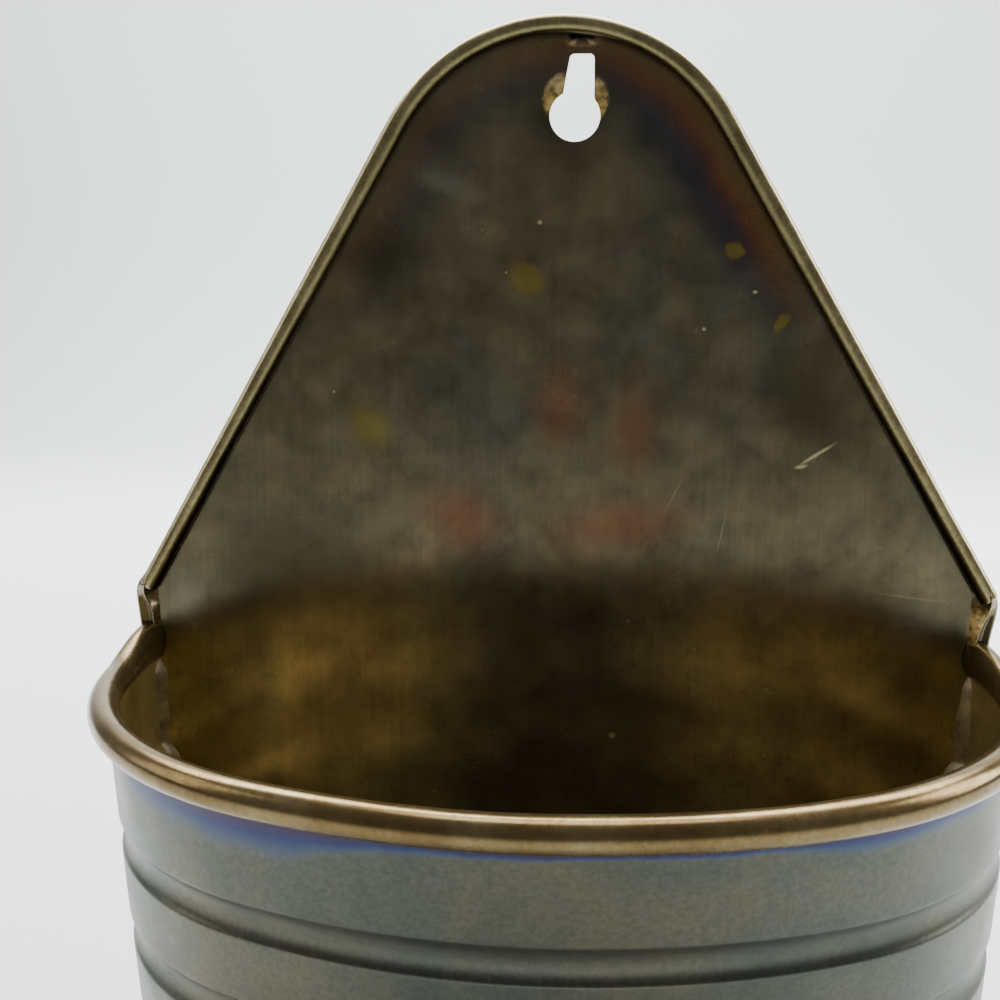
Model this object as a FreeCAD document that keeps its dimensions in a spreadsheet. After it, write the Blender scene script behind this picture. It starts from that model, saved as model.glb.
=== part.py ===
import FreeCAD, Part
import math
import os
import re

import Sketcher
from FreeCAD import Placement, Rotation, Vector

# A wall planter of tarnished brass sheet. An arched back plate, rolled forward round its edge, carries
# a tapered half-round pot whose rim is rolled outward over a wire.
#
# Frame: millimetres, +Z up, the wall side at +Y and the pot's bow towards -Y. The pieces are drawn with
# the plate's back face on Y = 0 and the foot on Z = 0, then placed so that the origin lies at the centre
# of the bottom of the whole object's box.

SIZES = {
    # The sheet and how closely folded pieces lie
    "sheet": 0.5,               # thickness of the brass sheet
    "seam_gap": 0.1,            # air left between two sheets folded together
    "hem_clearance": 0.3,       # from the hem's lip to the pot's wall and to the end of the rim roll
    "wire_gap": 0.15,           # air between a wire and the roll closed over it
    # The pot's plan at its mouth and foot: two side arcs that run into one front arc
    "rim_height": 94.0,         # centre of the rim roll above the foot
    "mouth_half_width": 75.1,
    "foot_half_width": 72.7,
    "mouth_depth": 72.6,        # from the plate's back face to the outside of the bow
    "foot_depth": 48.3,
    "mouth_side_radius": 58.7,
    "foot_side_radius": 31.3,
    "mouth_side_centre": 10.5,  # centre of the side arcs in front of the plate's back face
    "foot_side_centre": 7.3,
    # The grooves rolled into the wall
    "first_groove_drop": 20.8,  # from the centre of the rim roll down to the first groove
    "groove_pitch": 17.6,
    "groove_width": 6.3,
    "groove_depth": 1.3,
    # The rolled rim of the pot
    "rim_roll_radius": 2.5,
    "rim_roll_offset": 0.5,     # centre of the roll outside the wall's outer face
    "rim_slit": 0.2,            # between the end of the curl and the wall
    # The arch of the back plate
    "arch_top": 205.5,
    "arch_radius": 32.4,        # of the line along the middle of the edge roll
    "edge_roll_radius": 1.6,
    "edge_slit": 0.2,           # between the end of the curl and the plate
    "left_roll_inset": 2.5,     # from the hem's edge to the end of the roll's middle line
    "right_roll_inset": 1.3,    # the same on the right, where the roll runs further out
    "roll_end_rise": 1.0,       # of that end above the shoulder's corner
    # The hems that grip the pot, and the shoulders above them
    "hem_width": 2.2,           # from the pot's wall to the hem's edge
    "shoulder_rise": 12.2,      # of the shoulder's corner above the centre of the rim roll
    "shoulder_fold": 4.4,       # width of the flattened fold between the roll's end and the rim
    "shoulder_slope": 2.0,      # rise of the fold's upper edge towards the shoulder's corner
    # The keyhole and the dish pressed back round it
    "keyhole_offset": 2.4,      # punched a little to one side of the plate's middle
    "keyhole_drop": 16.1,       # from the top of the arch to the centre of the round part
    "keyhole_radius": 4.3,
    "neck_half_width": 2.5,     # half-width of the slot where it meets the round part
    "slot_half_width": 1.9,     # half-width of the slot's top
    "slot_rise": 10.1,          # from the centre of the round part to the slot's top
    "slot_lean": 1.0,           # how far the slot's top stands off to the side
    "dish_depth": 1.0,
    "dish_margin": 1.0,         # flat ring of the dish's floor below the round part
    "dish_rise": 0.6,           # centre of the dish above the centre of the round part
    "channel_half_width": 2.2,
    "channel_rise": 2.1,        # of the channel's end above the slot's top
    # The tray in the foot
    "tray_height": 5.0,
    # The solder run into the seams
    "seam_fillet": 1.8,
    "foot_fillet": 0.8,
}

GROOVE_COUNT = 4
PAST = 6.0         # how far a cut runs beyond what it cuts
DISH_TAPER = 45.0  # slope of the dish's side, in degrees

# Sizes that follow from the ones above
WALL_TOP = "(rim_height - rim_roll_radius + sheet)"
GROOVE_RADIUS = "((groove_width ^ 2 / 4 + groove_depth ^ 2) / (2 * groove_depth))"
PLATE_FRONT = "sheet"
SEAM_BACK = "(sheet + seam_gap)"
SEAM_FRONT = "(2 * sheet + seam_gap)"
LIP_BACK = "(2 * sheet + 2 * seam_gap)"
LIP_FRONT = "(3 * sheet + 2 * seam_gap)"
FRONT_REACH = "(mouth_depth + rim_roll_offset + rim_roll_radius)"
BACK_OFFSET = "(({0} - dish_depth) / 2)".format(FRONT_REACH)
ROLL_PATH_TOP = "(arch_top - edge_roll_radius)"
SHOULDER_HEIGHT = "(rim_height + shoulder_rise)"
ROLL_END_HEIGHT = "({0} + roll_end_rise)".format(SHOULDER_HEIGHT)
KEYHOLE_HEIGHT = "(arch_top - keyhole_drop)"
SLOT_TOP = "({0} + slot_rise)".format(KEYHOLE_HEIGHT)
CHANNEL_TOP = "({0} + channel_rise)".format(SLOT_TOP)
DISH_RADIUS = "(keyhole_radius + dish_rise + dish_margin + dish_depth)"

document = FreeCAD.newDocument("wall_planter")
sheet = document.addObject("Spreadsheet::Sheet", "Sizes")
pieces = []


def fill_sheet():
    """Write every driving size into the spreadsheet, with its name as the cell's alias."""
    for row, (name, size) in enumerate(SIZES.items(), start=1):
        sheet.set("A{0}".format(row), name)
        sheet.set("B{0}".format(row), str(size))
        sheet.setAlias("B{0}".format(row), name)
    document.recompute()


def linked(expression):
    """Return the expression with each size's name pointed at the spreadsheet."""
    return re.sub(r"[a-z_]+", lambda word: "Sizes." + word.group() if word.group() in SIZES else word.group(),
                  expression)


def worth(expression):
    """Return what an expression comes to with the present sizes, as a plain number."""
    result = sheet.evalExpression(linked(expression))
    return float(getattr(result, "Value", result))


def at_level(level, foot, mouth):
    """Return the size that runs evenly from its value at the foot to that at the top of the wall."""
    return "({1} + ({2} - {1}) * ({0}) / {3})".format(level, foot, mouth, WALL_TOP)


def groove_level(number):
    """Return the height of the middle of a groove, counted from 0 at the top."""
    return "(rim_height - first_groove_drop - {0} * groove_pitch)".format(number)


class Plan:
    """The pot's plan at one level, grown outward by an offset."""

    def __init__(self, level, offset="0"):
        self.level = level
        self.radius = "({0} + {1})".format(at_level(level, "foot_side_radius", "mouth_side_radius"), offset)
        self.half_width = "({0} + {1})".format(at_level(level, "foot_half_width", "mouth_half_width"), offset)
        self.depth = "({0} + {1})".format(at_level(level, "foot_depth", "mouth_depth"), offset)
        self.centre = at_level(level, "foot_side_centre", "mouth_side_centre")

    def side_x(self):
        """Return how far the centre of a side arc stands from the middle."""
        return "({0} - {1})".format(self.half_width, self.radius)

    def front_radius(self):
        """Return the radius of the one front arc that touches both side arcs and reaches the depth."""
        reach = "({0} - {1})".format(self.depth, self.centre)
        return "(({0} ^ 2 + {1} ^ 2 - {2} ^ 2) / (2 * ({1} - {2})))".format(self.side_x(), reach, self.radius)

    def edge(self, distance):
        """Return the half-width of the plan at a distance in front of the plate's back face."""
        return "({0} + sqrt({1} ^ 2 - ({2} - {3}) ^ 2))".format(self.side_x(), self.radius, self.centre,
                                                               distance)


def hem_corner(level):
    """Return the half-width of the hem's edge where it is set out from the pot's wall: foot or shoulder."""
    return "({0} + hem_width)".format(Plan(level).edge(LIP_FRONT))


def hem_edge(level):
    """Return the half-width of the hem's straight outer edge at any level."""
    foot, shoulder = hem_corner("0"), hem_corner(SHOULDER_HEIGHT)
    return "({0} + ({1} - {0}) * ({2}) / {3})".format(foot, shoulder, level, SHOULDER_HEIGHT)


def roll_end_half_width(side):
    """Return how far one end of the edge roll's middle line stands from the planter's middle."""
    return "({0} - {1}_roll_inset)".format(hem_corner(SHOULDER_HEIGHT), side)


def new_body(name, is_piece=True):
    """Make a body. A piece of the planter is listed, and placed against the wall side of the origin."""
    body = document.addObject("PartDesign::Body", name)
    body.Label = name
    if is_piece:
        body.setExpression("Placement.Base.y", linked(BACK_OFFSET))
        pieces.append(body)
    return body


def new_sketch(body, role, name, lift="0"):
    """Make a sketch on one of the body's origin planes, lifted along the plane's normal."""
    plane = next(feature for feature in body.Origin.OriginFeatures if feature.Role == role)
    sketch = body.newObject("Sketcher::SketchObject", name)
    sketch.AttachmentSupport = [(plane, "")]
    sketch.MapMode = "FlatFace"
    sketch.AttachmentOffset = Placement(Vector(0, 0, worth(lift)), Rotation())
    if lift != "0":
        sketch.setExpression("AttachmentOffset.Base.z", linked(lift))
    return sketch


def hold(sketch, kind, *arguments):
    """Add a constraint. Where the last argument is an expression, bind the constraint to it."""
    if isinstance(arguments[-1], str):
        *places, expression = arguments
        number = worth(expression)
        value = math.radians(number) if kind == "Angle" else number
        index = sketch.addConstraint(Sketcher.Constraint(kind, *places, value))
        sketch.setExpression("Constraints[{0}]".format(index), linked(expression))
    else:
        sketch.addConstraint(Sketcher.Constraint(kind, *arguments))


def pin(sketch, curve, end, x, y):
    """Hold one point of a curve at a place given by two expressions."""
    for kind, axis, expression in (("DistanceX", -2, x), ("DistanceY", -1, y)):
        if expression == "0":
            hold(sketch, "PointOnObject", curve, end, axis)
        else:
            hold(sketch, kind, -1, 1, curve, end, expression)


def draw_polygon(sketch, corners):
    """Draw a closed outline of straight lines through corners given by pairs of expressions."""
    points = [Vector(worth(x), worth(y), 0) for x, y in corners]
    lines = [sketch.addGeometry(Part.LineSegment(point, points[index + 1 - len(points)]), False)
             for index, point in enumerate(points)]
    for index, line in enumerate(lines):
        hold(sketch, "Coincident", line, 2, lines[index + 1 - len(lines)], 1)
        pin(sketch, line, 1, *corners[index])


def draw_circle(sketch, x, y, radius):
    """Draw a circle."""
    shape = Part.Circle(Vector(worth(x), worth(y), 0), Vector(0, 0, 1), worth(radius))
    circle = sketch.addGeometry(shape, False)
    pin(sketch, circle, 3, x, y)
    hold(sketch, "Radius", circle, radius)


def draw_arc(sketch, x, y, radius, first, last):
    """Draw an arc counter-clockwise between two angles in degrees, and hold its centre and radius."""
    circle = Part.Circle(Vector(worth(x), worth(y), 0), Vector(0, 0, 1), worth(radius))
    arc = sketch.addGeometry(Part.ArcOfCircle(circle, math.radians(first), math.radians(last)), False)
    pin(sketch, arc, 3, x, y)
    hold(sketch, "Radius", arc, radius)
    return arc


def draw_bow(sketch, plan, back, closed):
    """Draw the pot's plan from one end of the bow to the other, and close it along the plate.

    The ends lie at the distance back in front of the plate's back face, or behind it where that is
    negative.
    """
    side_x, centre = worth(plan.side_x()), worth(plan.centre)
    bow_radius = worth(plan.front_radius())
    bow_y = bow_radius - worth(plan.depth)
    end = math.degrees(math.asin((centre - worth(back)) / worth(plan.radius)))
    junction = math.degrees(math.atan2(-centre - bow_y, side_x))
    left = draw_arc(sketch, "-" + plan.side_x(), "-" + plan.centre, plan.radius, 180 - end, 180 - junction)
    right = draw_arc(sketch, plan.side_x(), "-" + plan.centre, plan.radius, junction, end)
    circle = Part.Circle(Vector(0, bow_y, 0), Vector(0, 0, 1), bow_radius)
    bow = Part.ArcOfCircle(circle, math.radians(180 - junction), math.radians(360 + junction))
    front = sketch.addGeometry(bow, False)
    hold(sketch, "Radius", front, plan.front_radius())
    hold(sketch, "Tangent", left, 2, front, 1)
    hold(sketch, "Tangent", front, 2, right, 1)
    hold(sketch, "DistanceY", -1, 1, left, 1, "-({0})".format(back))
    hold(sketch, "DistanceY", -1, 1, right, 2, "-({0})".format(back))
    if closed:
        chord = Part.LineSegment(sketch.getPoint(right, 2), sketch.getPoint(left, 1))
        line = sketch.addGeometry(chord, False)
        hold(sketch, "Coincident", line, 1, right, 2)
        hold(sketch, "Coincident", line, 2, left, 1)


def draw_curl(sketch, x, y, radius, first, last):
    """Draw the section of a curled sheet: a ring of the sheet's thickness between two angles."""
    angles = worth(first), worth(last)
    outer = draw_arc(sketch, x, y, radius, *angles)
    inner = draw_arc(sketch, x, y, "({0} - sheet)".format(radius), *angles)
    for end, angle in ((1, first), (2, last)):
        edge = Part.LineSegment(sketch.getPoint(inner, end), sketch.getPoint(outer, end))
        line = sketch.addGeometry(edge, False)
        hold(sketch, "Coincident", line, 1, inner, end)
        hold(sketch, "Coincident", line, 2, outer, end)
        hold(sketch, "PointOnObject", outer, 3, line)
        hold(sketch, "Angle", line, angle)


def draw_arch(sketch, closed_outline):
    """Draw the line along the middle of the edge roll: up one side, over the arch and down the other.

    With closed_outline it goes on round the shoulders and the foot, as the outline of the plate.
    """
    end_z = worth(ROLL_END_HEIGHT)
    drop = end_z - worth(ROLL_PATH_TOP) + worth("arch_radius")
    flanks, tops = [], []
    for end, sign, side in ((1, "", "right"), (2, "-", "left")):
        end_x = worth(roll_end_half_width(side))
        fall = math.acos(worth("arch_radius") / math.hypot(end_x, drop))
        touch = math.degrees(math.atan2(drop, end_x) + fall)
        first, last = (touch, 90) if end == 1 else (90, 180 - touch)
        arch = draw_arc(sketch, "0", ROLL_PATH_TOP + " - arch_radius", "arch_radius", first, last)
        hold(sketch, "PointOnObject", arch, 3 - end, -2)
        corner = Vector(worth(sign + roll_end_half_width(side)), end_z, 0)
        flank = sketch.addGeometry(Part.LineSegment(corner, sketch.getPoint(arch, end)), False)
        pin(sketch, flank, 1, sign + roll_end_half_width(side), ROLL_END_HEIGHT)
        hold(sketch, "Tangent", flank, 2, arch, end)
        flanks.append(flank)
        tops.append(arch)
    if closed_outline:
        shoulder, foot = hem_corner(SHOULDER_HEIGHT), hem_corner("0")
        corners = [("-" + shoulder, SHOULDER_HEIGHT), ("-" + foot, "0"), (foot, "0"),
                   (shoulder, SHOULDER_HEIGHT)]
        previous, start = flanks[1], sketch.getPoint(flanks[1], 1)
        previous_end = 1
        for x, z in corners:
            line = sketch.addGeometry(Part.LineSegment(start, Vector(worth(x), worth(z), 0)), False)
            hold(sketch, "Coincident", line, 1, previous, previous_end)
            pin(sketch, line, 2, x, z)
            previous, previous_end, start = line, 2, sketch.getPoint(line, 2)
        line = sketch.addGeometry(Part.LineSegment(start, sketch.getPoint(flanks[0], 1)), False)
        hold(sketch, "Coincident", line, 1, previous, previous_end)
        hold(sketch, "Coincident", line, 2, flanks[0], 1)


def loft(body, kind, name, sketches):
    """Join two sections of a body with straight lines."""
    feature = body.newObject("PartDesign::" + kind, name)
    feature.Profile = sketches[0]
    feature.Sections = sketches[1:]
    feature.Ruled = True
    return feature


def pipe(body, kind, name, profile, path):
    """Carry a profile along every edge of a path."""
    feature = body.newObject("PartDesign::" + kind, name)
    feature.Profile = profile
    feature.Spine = (path, ["Edge{0}".format(number + 1) for number in range(path.GeometryCount)])
    feature.Transition = "Transformed"
    return feature


def loft_plans(body, kind, name, plans, backs):
    """Loft the pot's plan between two levels, with the back of each section at its own distance."""
    sketches = []
    for plan, back, word in zip(plans, backs, ("_lower", "_upper")):
        sketch = new_sketch(body, "XY_Plane", name + word, plan.level)
        draw_bow(sketch, plan, back, closed=True)
        sketches.append(sketch)
    return loft(body, kind, name, sketches)


def cut_grooves(body, radius, prefix):
    """Cut every groove of the wall out of a body, as a round bar of one radius bent round the bow."""
    for number in range(GROOVE_COUNT):
        level = groove_level(number)
        plan = Plan(level, "({0} - groove_depth)".format(GROOVE_RADIUS))
        path = new_sketch(body, "XY_Plane", "{0}_path_{1}".format(prefix, number + 1), level)
        draw_bow(path, plan, "-{0}".format(PAST), closed=False)
        profile = new_sketch(body, "YZ_Plane", "{0}_bar_{1}".format(prefix, number + 1))
        draw_circle(profile, "-" + plan.depth, level, radius)
        pipe(body, "SubtractivePipe", "{0}_{1}".format(prefix, number + 1), profile, path)


def mirror(body, feature, name):
    """Repeat a feature on the other side of the planter."""
    mirrored = body.newObject("PartDesign::Mirrored", name)
    mirrored.Originals = [feature]
    plane = next(item for item in body.Origin.OriginFeatures if item.Role == "YZ_Plane")
    mirrored.MirrorPlane = (plane, [""])
    body.Tip = mirrored


def make_front_wall():
    """The pot's wall: a tapered bow with rolled grooves, its rim curled outward and its ends flanged."""
    core = new_body("wall_core", is_piece=False)
    foot, top = Plan("0", "-sheet"), Plan(WALL_TOP, "-sheet")
    loft_plans(core, "AdditiveLoft", "core", (foot, top), ("-{0}".format(PAST),) * 2)
    cut_grooves(core, "({0} + sheet)".format(GROOVE_RADIUS), "core_groove")

    wall = new_body("front_wall")
    loft_plans(wall, "AdditiveLoft", "wall", (Plan("0"), Plan(WALL_TOP)), (SEAM_BACK,) * 2)
    cut_grooves(wall, GROOVE_RADIUS, "groove")
    document.recompute()
    hollow = wall.newObject("PartDesign::Boolean", "hollow")
    hollow.setObjects([core])
    hollow.Type = "Cut"

    sketches = []
    for level, word in (("0", "_lower"), (WALL_TOP, "_upper")):
        sketch = new_sketch(wall, "XY_Plane", "flange" + word, level)
        inner = Plan(level, "-sheet").edge(SEAM_BACK)
        outer = "({0} - sheet - seam_gap)".format(hem_edge(level))
        draw_polygon(sketch, [(inner, "-" + SEAM_BACK), (outer, "-" + SEAM_BACK),
                              (outer, "-" + SEAM_FRONT), (inner, "-" + SEAM_FRONT)])
        sketches.append(sketch)
    flange = loft(wall, "AdditiveLoft", "flange", sketches)
    mirror(wall, flange, "other_flange")

    path = new_sketch(wall, "XY_Plane", "rim_path", "rim_height")
    rim = rim_plan()
    draw_bow(path, rim, rim_back(), closed=False)
    section = new_sketch(wall, "YZ_Plane", "rim_curl")
    first = "asin(rim_roll_offset / rim_roll_radius) - 90 deg"
    last = "270 deg + asin((rim_roll_offset - rim_slit) / rim_roll_radius)"
    draw_curl(section, "-" + rim.depth, "rim_height", "rim_roll_radius", first, last)
    pipe(wall, "AdditivePipe", "rim_roll", section, path)


def rim_plan():
    """Return the plan of the line along the middle of the rim roll."""
    plan = Plan(WALL_TOP, "rim_roll_offset")
    plan.level = "rim_height"
    return plan


def rim_back():
    """Return the distance in front of the plate's back face at which the rim roll ends."""
    return "({0} + hem_clearance)".format(LIP_FRONT)


def make_rim_wire():
    """The wire inside the rim roll."""
    wire = new_body("rim_wire")
    path = new_sketch(wire, "XY_Plane", "rim_wire_path", "rim_height")
    rim = rim_plan()
    draw_bow(path, rim, rim_back(), closed=False)
    section = new_sketch(wire, "YZ_Plane", "rim_wire_section")
    draw_circle(section, "-" + rim.depth, "rim_height", "(rim_roll_radius - sheet - wire_gap)")
    pipe(wire, "AdditivePipe", "rim_wire_bar", section, path)


def make_back_plate():
    """The arched plate, with its edge roll, the hems that grip the pot, and the dished keyhole."""
    plate = new_body("back_plate")
    outline = new_sketch(plate, "XZ_Plane", "plate_outline")
    draw_arch(outline, closed_outline=True)
    pad = plate.newObject("PartDesign::Pad", "plate")
    pad.Profile = outline
    pad.setExpression("Length", linked("sheet"))

    path = new_sketch(plate, "XZ_Plane", "edge_path", "edge_roll_radius")
    draw_arch(path, closed_outline=False)
    section = new_sketch(plate, "YZ_Plane", "edge_curl")
    last = "360 deg - acos((edge_roll_radius - sheet - edge_slit) / edge_roll_radius)"
    draw_curl(section, "-edge_roll_radius", ROLL_PATH_TOP, "edge_roll_radius", "0 deg", last)
    pipe(plate, "AdditivePipe", "edge_roll", section, path)

    sketches = []
    for level, word in (("0", "_lower"), (SHOULDER_HEIGHT, "_upper")):
        sketch = new_sketch(plate, "XY_Plane", "hem" + word, level)
        edge, lip = hem_edge(level), "({0} + hem_clearance)".format(Plan(level).edge(LIP_FRONT))
        web = "({0} - sheet)".format(edge)
        draw_polygon(sketch, [(edge, "0"), (edge, "-" + LIP_FRONT), (lip, "-" + LIP_FRONT),
                              (lip, "-" + LIP_BACK), (web, "-" + LIP_BACK), (web, "0")])
        sketches.append(sketch)
    hem = loft(plate, "AdditiveLoft", "hem", sketches)
    mirror(plate, hem, "other_hem")

    fold_foot = "(rim_height + rim_roll_radius + hem_clearance)"
    shoulder = hem_corner(SHOULDER_HEIGHT)
    inner = "({0} - shoulder_fold)".format(shoulder)
    fold = new_sketch(plate, "XZ_Plane", "shoulder_fold", LIP_BACK)
    draw_polygon(fold, [(inner, fold_foot), (hem_edge(fold_foot), fold_foot),
                        (shoulder, SHOULDER_HEIGHT), (roll_end_half_width("left"), ROLL_END_HEIGHT),
                        (inner, "({0} - shoulder_slope)".format(ROLL_END_HEIGHT))])
    flap = plate.newObject("PartDesign::Pad", "shoulder")
    flap.Profile = fold
    flap.setExpression("Length", linked("sheet"))
    mirror(plate, flap, "other_shoulder")

    press_keyhole(plate)


def press_keyhole(plate):
    """Press the dish and its channel back out of the plate, and punch the keyhole through them."""
    dish_z = "({0} + dish_rise)".format(KEYHOLE_HEIGHT)
    channel = "(channel_half_width + sheet)"
    for name, radius, half_width, top, kind, lift, taper in (
            ("dish_back", DISH_RADIUS, channel, "({0} + sheet)".format(CHANNEL_TOP), "Pad", "0", -DISH_TAPER),
            ("dish", DISH_RADIUS, "channel_half_width", CHANNEL_TOP, "Pocket", "sheet", -DISH_TAPER)):
        round_part = new_sketch(plate, "XZ_Plane", name + "_round", lift)
        draw_circle(round_part, "keyhole_offset", dish_z, radius)
        straight = new_sketch(plate, "XZ_Plane", name + "_straight", lift)
        left, right = ("(keyhole_offset + slot_lean {0} {1})".format(sign, half_width) for sign in "-+")
        draw_polygon(straight, [(left, dish_z), (right, dish_z), (right, top), (left, top)])
        for sketch, slope in ((round_part, taper), (straight, 0.0)):
            press = plate.newObject("PartDesign::" + kind, sketch.Name + "_press")
            press.Profile = sketch
            press.setExpression("Length", linked("dish_depth"))
            press.TaperAngle = slope
            press.Reversed = kind == "Pad"

    hole = new_sketch(plate, "XZ_Plane", "keyhole_outline", "sheet")
    draw_keyhole(hole)
    punch = plate.newObject("PartDesign::Pocket", "keyhole")
    punch.Profile = hole
    punch.Type = "ThroughAll"
    plate.Tip = punch


def draw_keyhole(sketch):
    """Draw the round hole and the slot that narrows upward from it and leans to one side."""
    neck = math.degrees(math.asin(worth("neck_half_width / keyhole_radius")))
    ring = draw_arc(sketch, "keyhole_offset", KEYHOLE_HEIGHT, "keyhole_radius", 90 + neck, 450 - neck)
    hold(sketch, "DistanceX", -1, 1, ring, 1, "keyhole_offset - neck_half_width")
    hold(sketch, "DistanceX", -1, 1, ring, 2, "keyhole_offset + neck_half_width")
    tips = [("(keyhole_offset + slot_lean {0} slot_half_width)".format(sign), SLOT_TOP) for sign in "+-"]
    points = [sketch.getPoint(ring, 2)] + [Vector(worth(x), worth(z), 0) for x, z in tips]
    points.append(sketch.getPoint(ring, 1))
    lines = [sketch.addGeometry(Part.LineSegment(points[index], points[index + 1]), False)
             for index in range(3)]
    hold(sketch, "Coincident", lines[0], 1, ring, 2)
    hold(sketch, "Coincident", lines[2], 2, ring, 1)
    for index, tip in enumerate(tips):
        hold(sketch, "Coincident", lines[index], 2, lines[index + 1], 1)
        pin(sketch, lines[index], 2, *tip)


def make_edge_wire():
    """The wire inside the roll round the plate's arch."""
    wire = new_body("edge_wire")
    path = new_sketch(wire, "XZ_Plane", "edge_wire_path", "edge_roll_radius")
    draw_arch(path, closed_outline=False)
    section = new_sketch(wire, "YZ_Plane", "edge_wire_section")
    draw_circle(section, "-edge_roll_radius", ROLL_PATH_TOP, "(edge_roll_radius - sheet - wire_gap)")
    pipe(wire, "AdditivePipe", "edge_wire_bar", section, path)


def slice_off(body, name, level, above):
    """Cut away everything of a body above or below a level."""
    sketch = new_sketch(body, "XY_Plane", name, level)
    reach = "(mouth_half_width + mouth_depth)"
    draw_polygon(sketch, [("-" + reach, "-" + reach), (reach, "-" + reach),
                          (reach, reach), ("-" + reach, reach)])
    cut = body.newObject("PartDesign::Pocket", name + "_cut")
    cut.Profile = sketch
    cut.Type = "ThroughAll"
    cut.Reversed = above
    body.Tip = cut


def loft_inside_wall(body, kind, name, offset, back):
    """Loft the pot's plan over the wall's whole height, so that it follows the wall at every level."""
    return loft_plans(body, kind, name, (Plan("0", offset), Plan(WALL_TOP, offset)), (back,) * 2)


def make_bottom_tray():
    """The tray that closes the foot: a flat floor with its edge turned up inside the wall."""
    tray = new_body("bottom_tray")
    outside, inside = "-" + SEAM_BACK, "-" + SEAM_FRONT
    loft_inside_wall(tray, "AdditiveLoft", "tray", outside, SEAM_BACK)
    loft_inside_wall(tray, "SubtractiveLoft", "tray_inside", inside, SEAM_FRONT)
    slice_off(tray, "tray_top", "tray_height", above=True)
    floor = new_sketch(tray, "XY_Plane", "tray_floor")
    draw_bow(floor, Plan("0", outside), SEAM_BACK, closed=True)
    pad = tray.newObject("PartDesign::Pad", "floor")
    pad.Profile = floor
    pad.setExpression("Length", linked("sheet"))
    tray.Tip = pad


def make_seam_solder(name, side):
    """The solder run down one inside corner, from the rim to the foot, drawn round the grooves' backs."""
    solder = new_body(name)
    sketches = []
    for level, word in (("0", "_lower"), (WALL_TOP, "_upper")):
        sketch = new_sketch(solder, "XY_Plane", name + word, level)
        inner = Plan(level, "-sheet")
        corner, reach = inner.edge(PLATE_FRONT), "({0} + seam_fillet)".format(PLATE_FRONT)
        draw_polygon(sketch, [(side + corner, "-" + PLATE_FRONT), (side + inner.edge(reach), "-" + reach),
                              ("{0}({1} - seam_fillet)".format(side, corner), "-" + PLATE_FRONT)])
        sketches.append(sketch)
    loft(solder, "AdditiveLoft", name + "_run", sketches)
    cut_grooves(solder, "({0} + sheet)".format(GROOVE_RADIUS), name + "_groove")
    slice_off(solder, name + "_end", "(tray_height + foot_fillet + seam_gap)", above=False)


def make_foot_solder():
    """The solder run along the top of the tray's turned-up edge."""
    solder = new_body("foot_seam_solder")
    top = "(tray_height + foot_fillet)"
    outside, inside = "-" + SEAM_BACK, "-" + SEAM_FRONT
    tip = "-({0} + seam_gap)".format(SEAM_BACK)
    loft_inside_wall(solder, "AdditiveLoft", "bead", outside, SEAM_BACK)
    slice_off(solder, "bead_top", top, above=True)
    slice_off(solder, "bead_foot", "tray_height", above=False)
    loft_plans(solder, "SubtractiveLoft", "bead_inside", (Plan("tray_height", inside), Plan(top, tip)),
               (SEAM_FRONT, "({0} + seam_gap)".format(SEAM_BACK)))


def check_and_export():
    """Stop if a feature failed or a piece has no valid solid, and otherwise write one file per piece."""
    document.recompute()
    for item in document.Objects:
        if "Invalid" in item.State or "Error" in item.State:
            raise RuntimeError("{0} failed: {1}".format(item.Name, item.State))
    os.makedirs("parts", exist_ok=True)
    for piece in pieces:
        shape = piece.Shape
        if shape.isNull() or not shape.isValid() or not shape.Solids:
            raise RuntimeError("{0} has no valid solid".format(piece.Label))
        box = shape.BoundBox
        print("{0}: {1} solid, {2:.1f} mm3, x {3:.2f} {4:.2f}, y {5:.2f} {6:.2f}, z {7:.2f} {8:.2f}".format(
            piece.Label, len(shape.Solids), shape.Volume, box.XMin, box.XMax, box.YMin, box.YMax,
            box.ZMin, box.ZMax))
        shape.exportStep(os.path.join("parts", piece.Label + ".step"))


fill_sheet()
make_back_plate()
make_front_wall()
make_bottom_tray()
make_rim_wire()
make_edge_wire()
make_seam_solder("right_seam_solder", "")
make_seam_solder("left_seam_solder", "-")
make_foot_solder()
check_and_export()
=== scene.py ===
"""Looks of a half-round wall planter of tarnished brass sheet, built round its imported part.

The pot's wall, the arched back plate and the solder in the corners are modelled here as fine meshes that
stand for their plain solids. The tray, the wires and the foot's solder keep their solids and get a finish.
Sizes are in millimetres in the plate's own frame: Z up from the foot, X to the right, and Y forward from
the plate's back face, so that a larger number is nearer the viewer. Place.row_point turns them into the
row's frame, in metres.
"""

import logging
import math
from dataclasses import dataclass, field
from enum import Enum
from typing import Any, Iterable, Sequence

import bmesh
import bpy
import numpy as np
from mathutils import Matrix, Vector
from mathutils.geometry import delaunay_2d_cdt


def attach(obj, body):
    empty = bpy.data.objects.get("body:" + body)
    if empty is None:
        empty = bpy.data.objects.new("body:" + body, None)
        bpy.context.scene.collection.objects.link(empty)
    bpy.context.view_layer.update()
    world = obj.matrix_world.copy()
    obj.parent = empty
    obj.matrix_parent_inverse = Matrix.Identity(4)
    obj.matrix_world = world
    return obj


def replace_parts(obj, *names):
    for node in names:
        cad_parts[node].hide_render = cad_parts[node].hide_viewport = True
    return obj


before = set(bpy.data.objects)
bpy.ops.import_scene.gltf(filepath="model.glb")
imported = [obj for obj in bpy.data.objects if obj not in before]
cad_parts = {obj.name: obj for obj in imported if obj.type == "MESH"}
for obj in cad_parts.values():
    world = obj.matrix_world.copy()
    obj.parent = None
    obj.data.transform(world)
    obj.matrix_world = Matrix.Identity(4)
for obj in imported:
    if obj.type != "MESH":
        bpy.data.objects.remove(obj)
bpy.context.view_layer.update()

MM = 0.001
HEM_WIDTH = 2.2
SHOULDER_HEIGHT = 106.2
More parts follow.
